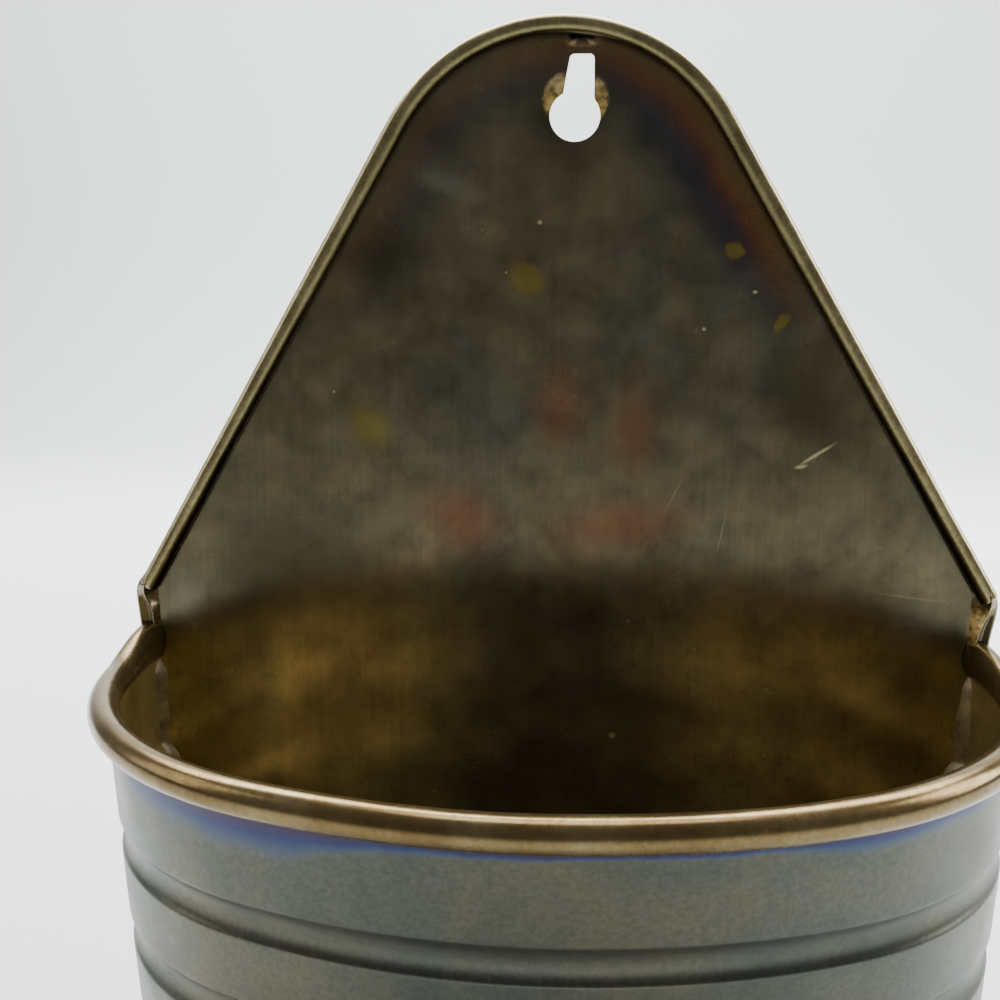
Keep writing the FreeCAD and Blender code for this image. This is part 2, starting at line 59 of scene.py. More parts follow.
# The inset given to places that the arch's heat colours don't reach.
FAR_INSET = 20.0

log = logging.getLogger("planter")

Array = np.ndarray
Piece = bpy.types.Object
Material = bpy.types.Material
Tree = bpy.types.NodeTree
Socket = bpy.types.NodeSocket
Faces = list[tuple[int, ...]]


class Side(Enum):
    """A side of the planter, as seen from the front."""

    LEFT = -1
    RIGHT = 1


# --- Numbers and noise -------------------------------------------------------------------------------


def smooth(low: float, high: float, value: Array | float) -> Array:
    """Return an even S-shaped rise from 0 at low to 1 at high.

    Args:
        low: value at which the rise starts.
        high: value at which it ends; it may lie below low.
        value: the numbers to map.

    Returns:
        The share of the rise, from 0 to 1.
    """
    share = np.clip((np.asarray(value, float) - low) / (high - low), 0.0, 1.0)
    return share * share * (3.0 - 2.0 * share)


@dataclass(frozen=True)
class Waves:
    """A few crossed waves that stand for the unevenness of hand-worked sheet."""

    seed: int
    length: float
    height: float
    count: int = 7

    def at(self, a: Array, b: Array) -> Array:
        """Return the height at places given by two coordinates in millimetres."""
        rng = np.random.default_rng(self.seed)
        total = np.zeros(np.broadcast(a, b).shape)
        for _ in range(self.count):
            heading, phase = rng.uniform(0.0, 2.0 * math.pi, 2)
            number = 2.0 * math.pi / (self.length * rng.uniform(0.7, 1.6))
            total += np.sin(number * (a * math.cos(heading) + b * math.sin(heading)) + phase)
        return total * self.height / math.sqrt(self.count)


def ease(line: Array, times: int) -> Array:
    """Return a line of points, or a row of lines, with all but its ends drawn nearer to their neighbours."""
    eased = line.copy()
    for _ in range(times):
        eased[1:-1] = (eased[:-2] + 2.0 * eased[1:-1] + eased[2:]) / 4.0
    return eased


def arc_lengths(line: Array) -> Array:
    """Return how far along a line each of its points lies."""
    return np.concatenate([[0.0], np.cumsum(np.linalg.norm(np.diff(line, axis=0), axis=1))])


def dots(across: tuple[float, float], up: tuple[float, float], step: float) -> Array:
    """Return the places of a square grid, one a row."""
    return np.stack(np.meshgrid(np.arange(*across, step), np.arange(*up, step)), axis=-1).reshape(-1, 2)


def lies_inside(points: Array, loop: Array) -> Array:
    """Tell which points of a plane lie inside a closed outline.

    Args:
        points: the points, one a row.
        loop: the outline's corners, in order.

    Returns:
        True for each point inside.
    """
    x, z = points[:, 0], points[:, 1]
    inside = np.zeros(len(points), bool)
    for (ax, az), (bx, bz) in zip(loop, np.roll(loop, -1, axis=0)):
        if az != bz:
            inside ^= ((az > z) != (bz > z)) & (x < (bx - ax) * (z - az) / (bz - az) + ax)
    return inside


# --- Sizes -------------------------------------------------------------------------------------------


@dataclass(frozen=True)
class Place:
    """Where the plate's own frame lies in the row's frame."""

    plate_back: float = 37.3

    def row_points(self, points: Array) -> Array:
        """Turn points of the plate's frame, in millimetres, into the row's frame, in metres."""
        moved = np.array(points, float)
        moved[:, 1] = self.plate_back - moved[:, 1]
        return moved * MM


@dataclass(frozen=True)
class Gauge:
    """Thickness of the brass sheet and how closely its folds lie."""

    sheet: float = 0.5
    seam_gap: float = 0.1

    @property
    def flange_back(self) -> float:
        """Distance from the plate's back face to the back of the wall's flange."""
        return self.sheet + self.seam_gap

    @property
    def lip_front(self) -> float:
        """Distance from the plate's back face to the front of the hem's lip."""
        return 2.0 * (self.sheet + self.seam_gap) + self.sheet


GAUGE = Gauge()
PLACE = Place()


@dataclass(frozen=True)
class PotPlan:
    """The pot's half-round plan, given at its foot and at the top of its wall."""

    wall_top: float = 92.0
    half_width: tuple[float, float] = (72.7, 75.1)
    depth: tuple[float, float] = (48.3, 72.6)
    side_radius: tuple[float, float] = (31.3, 58.7)
    side_centre: tuple[float, float] = (7.3, 10.5)
    side_steps: int = 46
    front_steps: int = 120

    def size(self, pair: tuple[float, float], level: Array) -> Array:
        """Return one of the plan's sizes at a level."""
        return pair[0] + (pair[1] - pair[0]) * level / self.wall_top

    def arcs(self, level: Array, offset: Array) -> tuple[Array, Array, Array, Array, Array]:
        """Return the arcs of the plan at a level, grown outward by an offset.

        Args:
            level: heights above the foot.
            offset: distances outside the wall's outer face.

        Returns:
            The side arcs' radius, their centre's X and Y, and the front arc's radius and centre's Y.
        """
        radius = self.size(self.side_radius, level) + offset
        side_x = self.size(self.half_width, level) + offset - radius
        side_y = self.size(self.side_centre, level) + 0.0 * offset
        depth = self.size(self.depth, level) + offset
        reach = depth - side_y
        front = (side_x**2 + reach**2 - radius**2) / (2.0 * (reach - radius))
        return radius, side_x, side_y, front, depth - front

    def edge(self, level: Array | float, offset: Array | float, distance: float) -> Array:
        """Return the plan's half-width at a distance in front of the plate's back face."""
        radius, side_x, side_y, _, _ = self.arcs(level, offset)
        return side_x + np.sqrt(radius**2 - (side_y - distance) ** 2)

    def bow(self, level: Array, offset: Array, back: Array) -> tuple[Array, Array]:
        """Return the plan's line from its left end to its right one, for each of several levels.

        Args:
            level: heights above the foot, one for each line.
            offset: distances outside the wall's outer face, one for each line.
            back: distance of each line's ends in front of the plate's back face.

        Returns:
            X and Y of the points, one row for each line.
        """
        radius, side_x, side_y, front, front_y = (value[:, None] for value in self.arcs(level, offset))
        end = np.arcsin((back[:, None] - side_y) / radius)
        turn = np.arctan2(side_y - front_y, side_x)
        side_share = np.linspace(0.0, 1.0, self.side_steps + 1)[None, :]
        front_share = np.linspace(0.0, 1.0, self.front_steps + 1)[None, 1:-1]
        side_angle = end + (turn - end) * side_share
        front_angle = (math.pi - turn) + (2.0 * turn - math.pi) * front_share
        side_line_x, side_line_y = side_x + radius * np.cos(side_angle), side_y + radius * np.sin(side_angle)
        x = np.hstack([-side_line_x, front * np.cos(front_angle), side_line_x[:, ::-1]])
        y = np.hstack([side_line_y, front_y + front * np.sin(front_angle), side_line_y[:, ::-1]])
        return x, y


PLAN = PotPlan()


def hem_edge(level: Array | float) -> Array:
    """Return the half-width of the hem's straight outer edge at a level."""
    foot, top = (PLAN.edge(end, 0.0, GAUGE.lip_front) + HEM_WIDTH for end in (0.0, SHOULDER_HEIGHT))
    return foot + (top - foot) * np.asarray(level, float) / SHOULDER_HEIGHT


# --- Colours and nodes -------------------------------------------------------------------------------

# The output taken from a kind of node, where it isn't the first one.
MAIN_OUTPUT = {"TexCoord": "Object", "Attribute": "Fac", "Mix": 2}
# How two colours are mixed, and the numbers of the mixing node's sockets.
BLEND = {"data_type": "RGBA"}
MULTIPLY = {"data_type": "RGBA", "blend_type": "MULTIPLY"}
SHARE, UNDER, OVER = "0", "6", "7"
EASED = {"interpolation_type": "SMOOTHSTEP"}
# The depth of a mark, which goes through the sheet.
ENDLESS = 1e5


def linear(colour: str, alpha: float = 1.0) -> tuple[float, float, float, float]:
    """Turn an sRGB hex colour into the linear numbers that the nodes take.

    Args:
        colour: the colour as #rrggbb.
        alpha: the fourth number.

    Returns:
        Red, green, blue and alpha.
    """
    channels = [int(colour[start:start + 2], 16) / 255.0 for start in (1, 3, 5)]
    return (*[c / 12.92 if c <= 0.04045 else ((c + 0.055) / 1.055) ** 2.4 for c in channels], alpha)


def add_node(tree: Tree, kind: str, settings: dict[str, Any] | None = None,
             links: dict[str, Socket] | None = None) -> Socket:
    """Add a node to a tree.

    Args:
        tree: the node tree.
        kind: the node's type, without the word ShaderNode.
        settings: values of the node's own properties, or else of its input sockets, by name. The word
            stops gives a colour ramp's positions and colours.
        links: what feeds each of its input sockets. A number picks the socket by its place.

    Returns:
        The output that this script takes from such a node.
    """
    node = tree.nodes.new("ShaderNode" + kind)
    for name, value in (settings or {}).items():
        if name == "stops":
            ramp = node.color_ramp.elements
            while len(ramp) < len(value):
                ramp.new(1.0)
            for stop, (position, colour) in zip(ramp, value):
                stop.position, stop.color = position, linear(colour)
        elif hasattr(node, name):
            setattr(node, name, value)
        else:
            node.inputs[int(name) if name.isdigit() else name].default_value = value
    for name, source in (links or {}).items():
        tree.links.new(source, node.inputs[int(name) if name.isdigit() else name])
    return node.outputs[MAIN_OUTPUT.get(kind, 0)]


# --- Meshes ------------------------------------------------------------------------------------------


def make_piece(name: str, points: Array, faces: Iterable[Sequence[int]], finish: Material,
               marks: dict[str, Array] | None = None, crease: float = 35.0) -> Piece:
    """Make a mesh that rides on the planter's body.

    Args:
        name: the piece's name.
        points: its vertices in the plate's frame, in millimetres.
        faces: its faces, as lists of vertex numbers.
        finish: its material.
        marks: numbers kept on each vertex for the finish to read, by name.
        crease: angle in degrees above which an edge stays sharp.

    Returns:
        The new object.
    """
    mesh = bpy.data.meshes.new(name)
    mesh.from_pydata(PLACE.row_points(points).tolist(), [], [list(face) for face in faces])
    for mark, values in (marks or {}).items():
        mesh.attributes.new(mark, "FLOAT", "POINT").data.foreach_set("value", np.asarray(values, np.float32))
    mesh.materials.append(finish)
    mesh.validate()
    work = bmesh.new()
    work.from_mesh(mesh)
    bmesh.ops.recalc_face_normals(work, faces=work.faces)
    work.to_mesh(mesh)
    work.free()
    mesh.shade_smooth()
    mesh.set_sharp_from_angle(angle=math.radians(crease))
    piece = bpy.data.objects.new(name, mesh)
    bpy.context.scene.collection.objects.link(piece)
    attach(piece, "root")
    log.info("%s: %d faces", name, len(mesh.polygons))
    return piece


def tube_faces(rows: int, columns: int) -> Faces:
    """Return the faces of a closed tube whose points are numbered row by row.

    Args:
        rows: number of points round the tube's section.
        columns: number of sections along it.

    Returns:
        The faces of its wall, then the two that close its ends.
    """
    faces = []
    for row in range(rows):
        here, above = row * columns, (row + 1) % rows * columns
        faces += [(here + c, here + c + 1, above + c + 1, above + c) for c in range(columns - 1)]
    starts = range(0, rows * columns, columns)
    return faces + [tuple(starts), tuple(start + columns - 1 for start in starts)[::-1]]


def standing_tube(side: Side, levels: Array, shape: Array) -> tuple[Array, Faces]:
    """Return a tube that stands on the plate, given by its section at each level.

    Args:
        side: the side of the planter that it stands on.
        levels: the heights of its sections.
        shape: half-width and distance forward of each point, one row for each level.

    Returns:
        Its points and its faces.
    """
    points = np.stack([side.value * shape[..., 0], shape[..., 1],
                       np.repeat(levels[:, None], shape.shape[1], axis=1)], axis=-1)
    ring = points.transpose(1, 0, 2)
    return ring.reshape(-1, 3), tube_faces(*ring.shape[:2])


# --- The pot's wall ----------------------------------------------------------------------------------


@dataclass
class PotWall:
    """The tapered, grooved wall of the pot with its rim rolled outward."""

    rim_height: float = 94.0
    roll_radius: float = 2.5
    roll_offset: float = 0.5
    first_groove: float = 73.2
    groove_pitch: float = 17.6
    groove_width: float = 6.3
    groove_depth: float = 1.3
    groove_count: int = 4
    groove_edge: float = 0.55
    coarse_step: float = 0.9
    fine_step: float = 0.22
    # Angles in degrees where the curl leaves the wall, where the sheet ends in it, and where it comes back.
    curl: tuple[float, float, float] = (-104.5, -456.9, -113.6)
    roll_back: float = 1.2
    # How far the left and right end of the rim rise, and over what distance from the plate.
    end_rise: tuple[float, float] = (3.6, 2.7)
    rise_reach: tuple[float, float] = (17.0, -1.0)
    half_length: float = 130.0
    swell: float = -0.05
    uneven: Waves = field(default_factory=lambda: Waves(seed=11, length=46.0, height=0.10))

    def groove(self, level: Array) -> Array:
        """Return how far the grooves draw the wall in at each level."""
        radius = (self.groove_width**2 / 4.0 + self.groove_depth**2) / (2.0 * self.groove_depth)
        total = np.zeros_like(level)
        for middle in self.middles():
            away = np.abs(level - middle)
            hollow = np.sqrt(np.maximum(radius**2 - away**2, 0.0)) - (radius - self.groove_depth)
            rounded = 0.5 * (hollow + np.sqrt(hollow**2 + (self.groove_edge * 0.25) ** 2))
            total += rounded * (away < self.groove_width)
        return total

    def middles(self) -> list[float]:
        """Return the heights of the grooves' middles, from the top one down."""
        return [self.first_groove - number * self.groove_pitch for number in range(self.groove_count)]

    def levels(self) -> Array:
        """Return the heights at which the wall's section has a point, close together in the grooves."""
        wanted = [0.0]
        while wanted[-1] < self.rim_height - self.roll_radius - 0.3:
            here = wanted[-1]
            away = min(abs(here - middle) for middle in self.middles())
            wanted.append(here + (self.fine_step if away < self.groove_width * 0.75 else self.coarse_step))
        return np.array(wanted)

    def section(self) -> dict[str, Array]:
        """Return the closed section of the sheet: height, offset and marks of each point."""
        sheet = GAUGE.sheet
        up = self.levels()
        down = up[::-1]
        groove = self.groove(up)
        inner_turn = np.radians(np.linspace(*self.curl[:2], 60))
        outer_turn = np.radians(np.linspace(*self.curl[1:], 110))
        rings = [(self.rim_height + radius * np.sin(turn), self.roll_offset + radius * np.cos(turn))
                 for radius, turn in ((self.roll_radius - sheet, inner_turn), (self.roll_radius, outer_turn))]
        height = np.concatenate([up, rings[0][0], rings[1][0], down])
        offset = np.concatenate([-groove, rings[0][1], rings[1][1], (-groove - sheet)[::-1]])
        counts = [len(up), len(inner_turn), len(outer_turn), len(down)]
        return {"height": height, "offset": offset, "wall": np.repeat([1.0, 0.0, 0.0, 1.0], counts),
                "outside": np.repeat([1.0, 0.0, 0.5, 0.0], counts)}

    def build(self, finish: Material) -> Piece:
        """Build the wall and its flanges."""
        part = self.section()
        level = np.minimum(part["height"], PLAN.wall_top)
        back = np.where(part["wall"] > 0.5, GAUGE.flange_back, self.roll_back)
        x, y = PLAN.bow(level, part["offset"], back)
        rows, columns = x.shape
        z = np.repeat(part["height"][:, None], columns, axis=1)
        along = np.linspace(-1.0, 1.0, columns)[None, :] * np.ones((rows, 1))
        push = (self.uneven.at(along * self.half_length, z) + self.swell) * (1.0 - np.abs(along) ** 6)
        outward = np.stack([-np.gradient(y, axis=1), np.gradient(x, axis=1)], axis=-1)
        outward /= np.linalg.norm(outward, axis=-1, keepdims=True)
        x, y = x + push * outward[..., 0], y + push * outward[..., 1]
        # At both ends the rim was hammered up against the plate's shoulders.
        rise = np.where(x < 0.0, *self.end_rise) * smooth(*self.rise_reach, y)
        z = z + rise * smooth(self.rim_height - 4.5, self.rim_height + self.roll_radius, z)
        points = np.stack([x, y, z], axis=-1).reshape(-1, 3)
        marks = {"along": along.ravel(), "outside": np.repeat(part["outside"], columns),
                 "rolled": np.repeat(1.0 - part["wall"], columns)}
        flange_points, flange_faces = self.flanges(len(points))
        spare = np.zeros(len(flange_points))
        piece = make_piece(
            "pot_wall", np.vstack([points, flange_points]), tube_faces(rows, columns) + flange_faces, finish,
            {name: np.concatenate([values, spare]) for name, values in marks.items()})
        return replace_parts(piece, "front_wall")

    def flanges(self, start: int) -> tuple[Array, Faces]:
        """Return the two flanges at the wall's ends, which lie in the plate's hems."""
        points, faces = [], []
        levels = np.array([0.0, PLAN.wall_top])
        inner = PLAN.edge(levels, np.array([-GAUGE.sheet] * 2), GAUGE.flange_back)
        outer = hem_edge(levels) - GAUGE.sheet - GAUGE.seam_gap
        back, front = GAUGE.flange_back, GAUGE.flange_back + GAUGE.sheet
        for side in Side:
            first = start + len(points)
            for level, near, far in zip(levels, inner, outer):
                points += [(side.value * x, y, level)
                           for x, y in ((near, back), (far, back), (far, front), (near, front))]
            faces += [(first + c, first + (c + 1) % 4, first + 4 + (c + 1) % 4, first + 4 + c)
                      for c in range(4)]
            faces += [tuple(range(first, first + 4)), tuple(range(first + 4, first + 8))]
        return np.array(points), faces


# --- The arched back plate ---------------------------------------------------------------------------


@dataclass
class ArchLine:
    """The line along the middle of the roll round the plate's edge, from its right end to its left one."""

    top: float = 203.9
    radius: float = 32.4
    end_height: float = 107.2
    left_inset: float = 2.5
    right_inset: float = 1.3
    flank_steps: int = 60
    arch_steps: int = 72

    @property
    def centre(self) -> float:
        """Height of the arch's centre."""
        return self.top - self.radius

    def end_x(self, side: Side) -> float:
        """Return the half-width at one end of the line."""
        inset = self.right_inset if side is Side.RIGHT else self.left_inset
        return float(hem_edge(SHOULDER_HEIGHT)) - inset

    def touch(self, side: Side) -> float:
        """Return the angle above the horizontal at which a straight flank runs into the arch."""
        drop, end_x = self.end_height - self.centre, self.end_x(side)
        return math.atan2(drop, end_x) + math.acos(self.radius / math.hypot(end_x, drop))

    def points(self) -> tuple[Array, Array]:
        """Return X and Z of the line's points and of their outward directions."""
        turn = np.linspace(self.touch(Side.RIGHT), math.pi - self.touch(Side.LEFT), self.arch_steps + 1)
        out = np.stack([np.cos(turn), np.sin(turn)], axis=1)
        arch = self.radius * out + [0.0, self.centre]
        share = np.linspace(0.0, 1.0, self.flank_steps + 1)[:-1, None]
        flanks = []
        for side, top in ((Side.RIGHT, arch[:1]), (Side.LEFT, arch[-1:])):
            foot = np.array([[side.value * self.end_x(side), self.end_height]])
            flanks.append(foot + (top - foot) * share)
        right, left = flanks[0], flanks[1][::-1]
        return np.vstack([right, arch, left]), np.pad(out, ((len(right), len(left)), (0, 0)), "edge")

    def inset(self, x: Array, z: Array) -> Array:
        """Return how far inside the line each place lies."""
        depth = self.radius - np.hypot(x, z - self.centre)
        for side in Side:
            touch = self.touch(side)
            flank = (self.end_x(side) - side.value * x) * math.cos(touch) \
                + (self.end_height - z) * math.sin(touch)
            on_flank = (side.value * x >= 0.0) & (np.arctan2(z - self.centre, side.value * x) < touch)
            depth = np.where(on_flank, flank, depth)
        return depth


@dataclass
class Keyhole:
    """The keyhole and the dish pressed back round its neck and slot."""

    x: float = 2.4
    z: float = 189.4
    radius: float = 4.3
    neck: float = 2.65
    neck_shift: float = 0.6
    slot: float = 2.1
    rise: float = 10.1
    lean: float = 1.1
    corner: float = 0.8
    depth: float = 1.0
    dish_reach: float = 5.8
    dish_floor: float = 2.6
    dish_rise: float = 3.0
    channel_top: float = 201.7
    # How far from the slot's middle the channel starts to rise, and where it is level with the plate.
    channel_edge: tuple[float, float] = (1.8, 3.4)
    # Height above the hole's middle where the slot starts to lean.
    bend: float = 2.2

    def outline(self, grow: float = 0.0) -> Array:
        """Return the hole's outline, grown outward.

        Args:
            grow: how far outside the hole's edge the line lies.

        Returns:
            X and Z of its points, counter-clockwise as seen from the front.
        """
        radius = self.radius + grow
        left_neck, right_neck = (math.asin(min(1.0, (self.neck + shift + grow) / radius))
                                 for shift in (-self.neck_shift, self.neck_shift))
        turn = np.linspace(math.pi / 2 + left_neck, 2.5 * math.pi - right_neck, 56)
        ring = np.stack([self.x + radius * np.cos(turn), self.z + radius * np.sin(turn)], axis=1)
        top, centre = self.z + self.rise + grow, self.x + self.lean
        corner = self.corner + grow
        bend = np.linspace(0.0, math.pi / 2, 8)
        edge = self.slot + grow
        right = np.stack([centre + edge - corner + corner * np.cos(bend),
                          top - corner + corner * np.sin(bend)], axis=1)
        left = np.stack([2 * centre - right[:, 0], right[:, 1]], axis=1)[::-1]
        rise = np.linspace(0.0, 1.0, 12)[1:-1, None]
        up = ring[-1] + (right[0] - ring[-1]) * rise
        down = left[-1] + (ring[0] - left[-1]) * rise
        return np.vstack([ring, up, right, left, down])

    def spine(self, z: Array) -> Array:
        """Return X of the slot's middle at each height."""
        share = np.clip((z - self.z - self.bend) / (self.rise - self.bend), 0.0, 1.0)
        return self.x + self.lean * (0.15 + 0.85 * share)

    def bowl(self, x: Array, z: Array) -> Array:
        """Return how far inside the dish's rim each place lies."""
        over = z - self.z - self.dish_rise
        return self.dish_reach - np.hypot(x - self.x - 0.1, over * np.where(over > 0.0, 1.25, 1.0))

    def sunk(self, x: Array, z: Array) -> Array:
        """Return how far the plate is pressed back: into a straight-sided dish, and a channel above it."""
        side = np.clip(self.bowl(x, z) / (self.dish_reach - self.dish_floor), 0.0, 1.0)
        across = 1.0 - smooth(*self.channel_edge, np.abs(x - self.spine(z)))
        channel = across * smooth(self.z + 2.0, self.z + 5.0, z) \
            * (1.0 - smooth(self.channel_top - 1.2, self.channel_top + 0.3, z))
        return self.depth * np.maximum(side, 0.5 * channel)

    def bare(self, x: Array, z: Array) -> Array:
        """Return where the dish's sides are painted as bright bare brass: rubbed brass, and a painted
        highlight, brightest low down.
        """
        return smooth(0.0, 0.6, self.bowl(x, z)) * smooth(self.z + 8.5, self.z + 1.5, z)

    def grime(self, x: Array, z: Array) -> Array:
        """Return where the end of the channel under the roll is painted black, as painted shade."""
        across = smooth(2.3, 1.9, np.abs(x - self.spine(z)))
        return across * smooth(self.channel_top - 0.45, self.channel_top - 0.1, z)


@dataclass(frozen=True)
class Crease:
    """The section of a shoulder at one level: its ridge, the hollow outside it, and its edge."""

    level: float
    ridge: tuple[float, float]
    hollow: tuple[float, float]
    edge: float


@dataclass(frozen=True)
class Shoulder:
    """The end of the edge roll, hammered down into a creased wedge that runs on as the hem."""

    side: Side
    creases: tuple[Crease, ...]
    inner: float = 73.0
    corner: float = 105.7
    draw_in: tuple[float, float] = (0.16, 0.11)
    flare: float = 0.3
    flare_levels: tuple[float, float] = (98.0, 105.2)
    # How much of the inner facet is painted as bright bare brass: rubbed brass, and a painted highlight.
    rubbed: float = 0.2
    lean: float = 0.24

    def edge(self, level: float) -> float:
        """Return the half-width of the shoulder's outer edge at a level."""
        above = max(0.0, level - self.corner)
        straight = float(hem_edge(min(level, self.corner)))
        straight += self.flare * float(smooth(*self.flare_levels, level))
        return straight - self.draw_in[0] * above - self.draw_in[1] * above**2

    def section(self, level: float) -> Array:
        """Return the closed section of the wedge at a level, as half-widths and distances forward."""
        keys = [crease.level for crease in self.creases]
        values = np.array([[*crease.ridge, *crease.hollow, crease.edge] for crease in self.creases])
        ridge_x, ridge_y, share, hollow_y, edge_y = (np.interp(level, keys, column) for column in values.T)
        edge = self.edge(level)
        start = self.inner + self.lean * max(0.0, level - self.corner)
        hollow_x = ridge_x + (edge - 0.4 - ridge_x) * share
        corners = np.array([(start - 0.3, 0.4), (start, 0.5), (ridge_x, ridge_y), (hollow_x, hollow_y),
                            (edge - 0.35, edge_y), (edge, edge_y - 0.45), (edge, 0.35), (edge - 0.35, 0.04)])
        run = arc_lengths(corners)
        fine = np.linspace(0.0, run[-1], 72)
        line = np.stack([np.interp(fine, run, corners[:, 0]), np.interp(fine, run, corners[:, 1])], axis=1)
        return np.vstack([ease(line, 3), [(start - 0.3, 0.04)]])

    def build(self, finish: Material) -> Piece:
        """Build the wedge."""
        levels = np.linspace(self.creases[0].level, self.creases[-1].level, 64)
        shape = ease(np.array([self.section(level) for level in levels]), 2)
        points, faces = standing_tube(self.side, levels, shape)
        ridge = np.interp(levels, *zip(*((crease.level, crease.ridge[0]) for crease in self.creases)))
        # The inner facet, between 97 and 106 mm up, is painted bright: rubbed brass, and a painted highlight.
        bare = smooth(97.0, 99.5, levels) * smooth(106.0, 104.4, levels) \
            * smooth(0.25, -0.1, shape[..., 0].T - ridge)
        marks = {"inset": np.full(len(points), FAR_INSET), "bare": self.rubbed * bare.ravel()}
        return make_piece(f"{self.side.name.lower()}_shoulder", points, faces, finish, marks)


RIGHT_SHOULDER = Shoulder(Side.RIGHT, (
    Crease(95.2, (73.5, 2.5), (0.5, 1.0), 1.3), Crease(98.0, (73.6, 2.6), (0.5, 0.9), 1.25),
    Crease(101.0, (74.2, 2.7), (0.5, 0.9), 1.3), Crease(103.4, (75.1, 2.7), (0.5, 1.1), 1.4),
    Crease(104.7, (75.9, 2.6), (0.5, 1.5), 1.5), Crease(106.2, (75.9, 3.1), (0.55, 2.5), 1.8),
    Crease(107.4, (75.7, 3.5), (0.55, 2.9), 1.9), Crease(110.4, (74.8, 2.8), (0.55, 2.4), 1.6)),
    draw_in=(0.2, 0.05), flare=0.75, rubbed=0.85)
LEFT_SHOULDER = Shoulder(Side.LEFT, (
    Crease(95.2, (73.4, 2.4), (0.45, 1.0), 1.3), Crease(98.0, (73.5, 2.5), (0.45, 0.8), 1.3),
    Crease(101.4, (73.8, 2.6), (0.45, 0.6), 1.35), Crease(103.2, (74.2, 2.5), (0.5, 0.7), 1.4),
    Crease(104.6, (75.2, 2.2), (0.5, 1.2), 1.5), Crease(105.8, (75.3, 2.6), (0.6, 2.0), 1.6),
    Crease(107.2, (74.8, 3.5), (0.55, 2.9), 1.8), Crease(110.4, (73.6, 2.8), (0.55, 2.4), 1.5)))


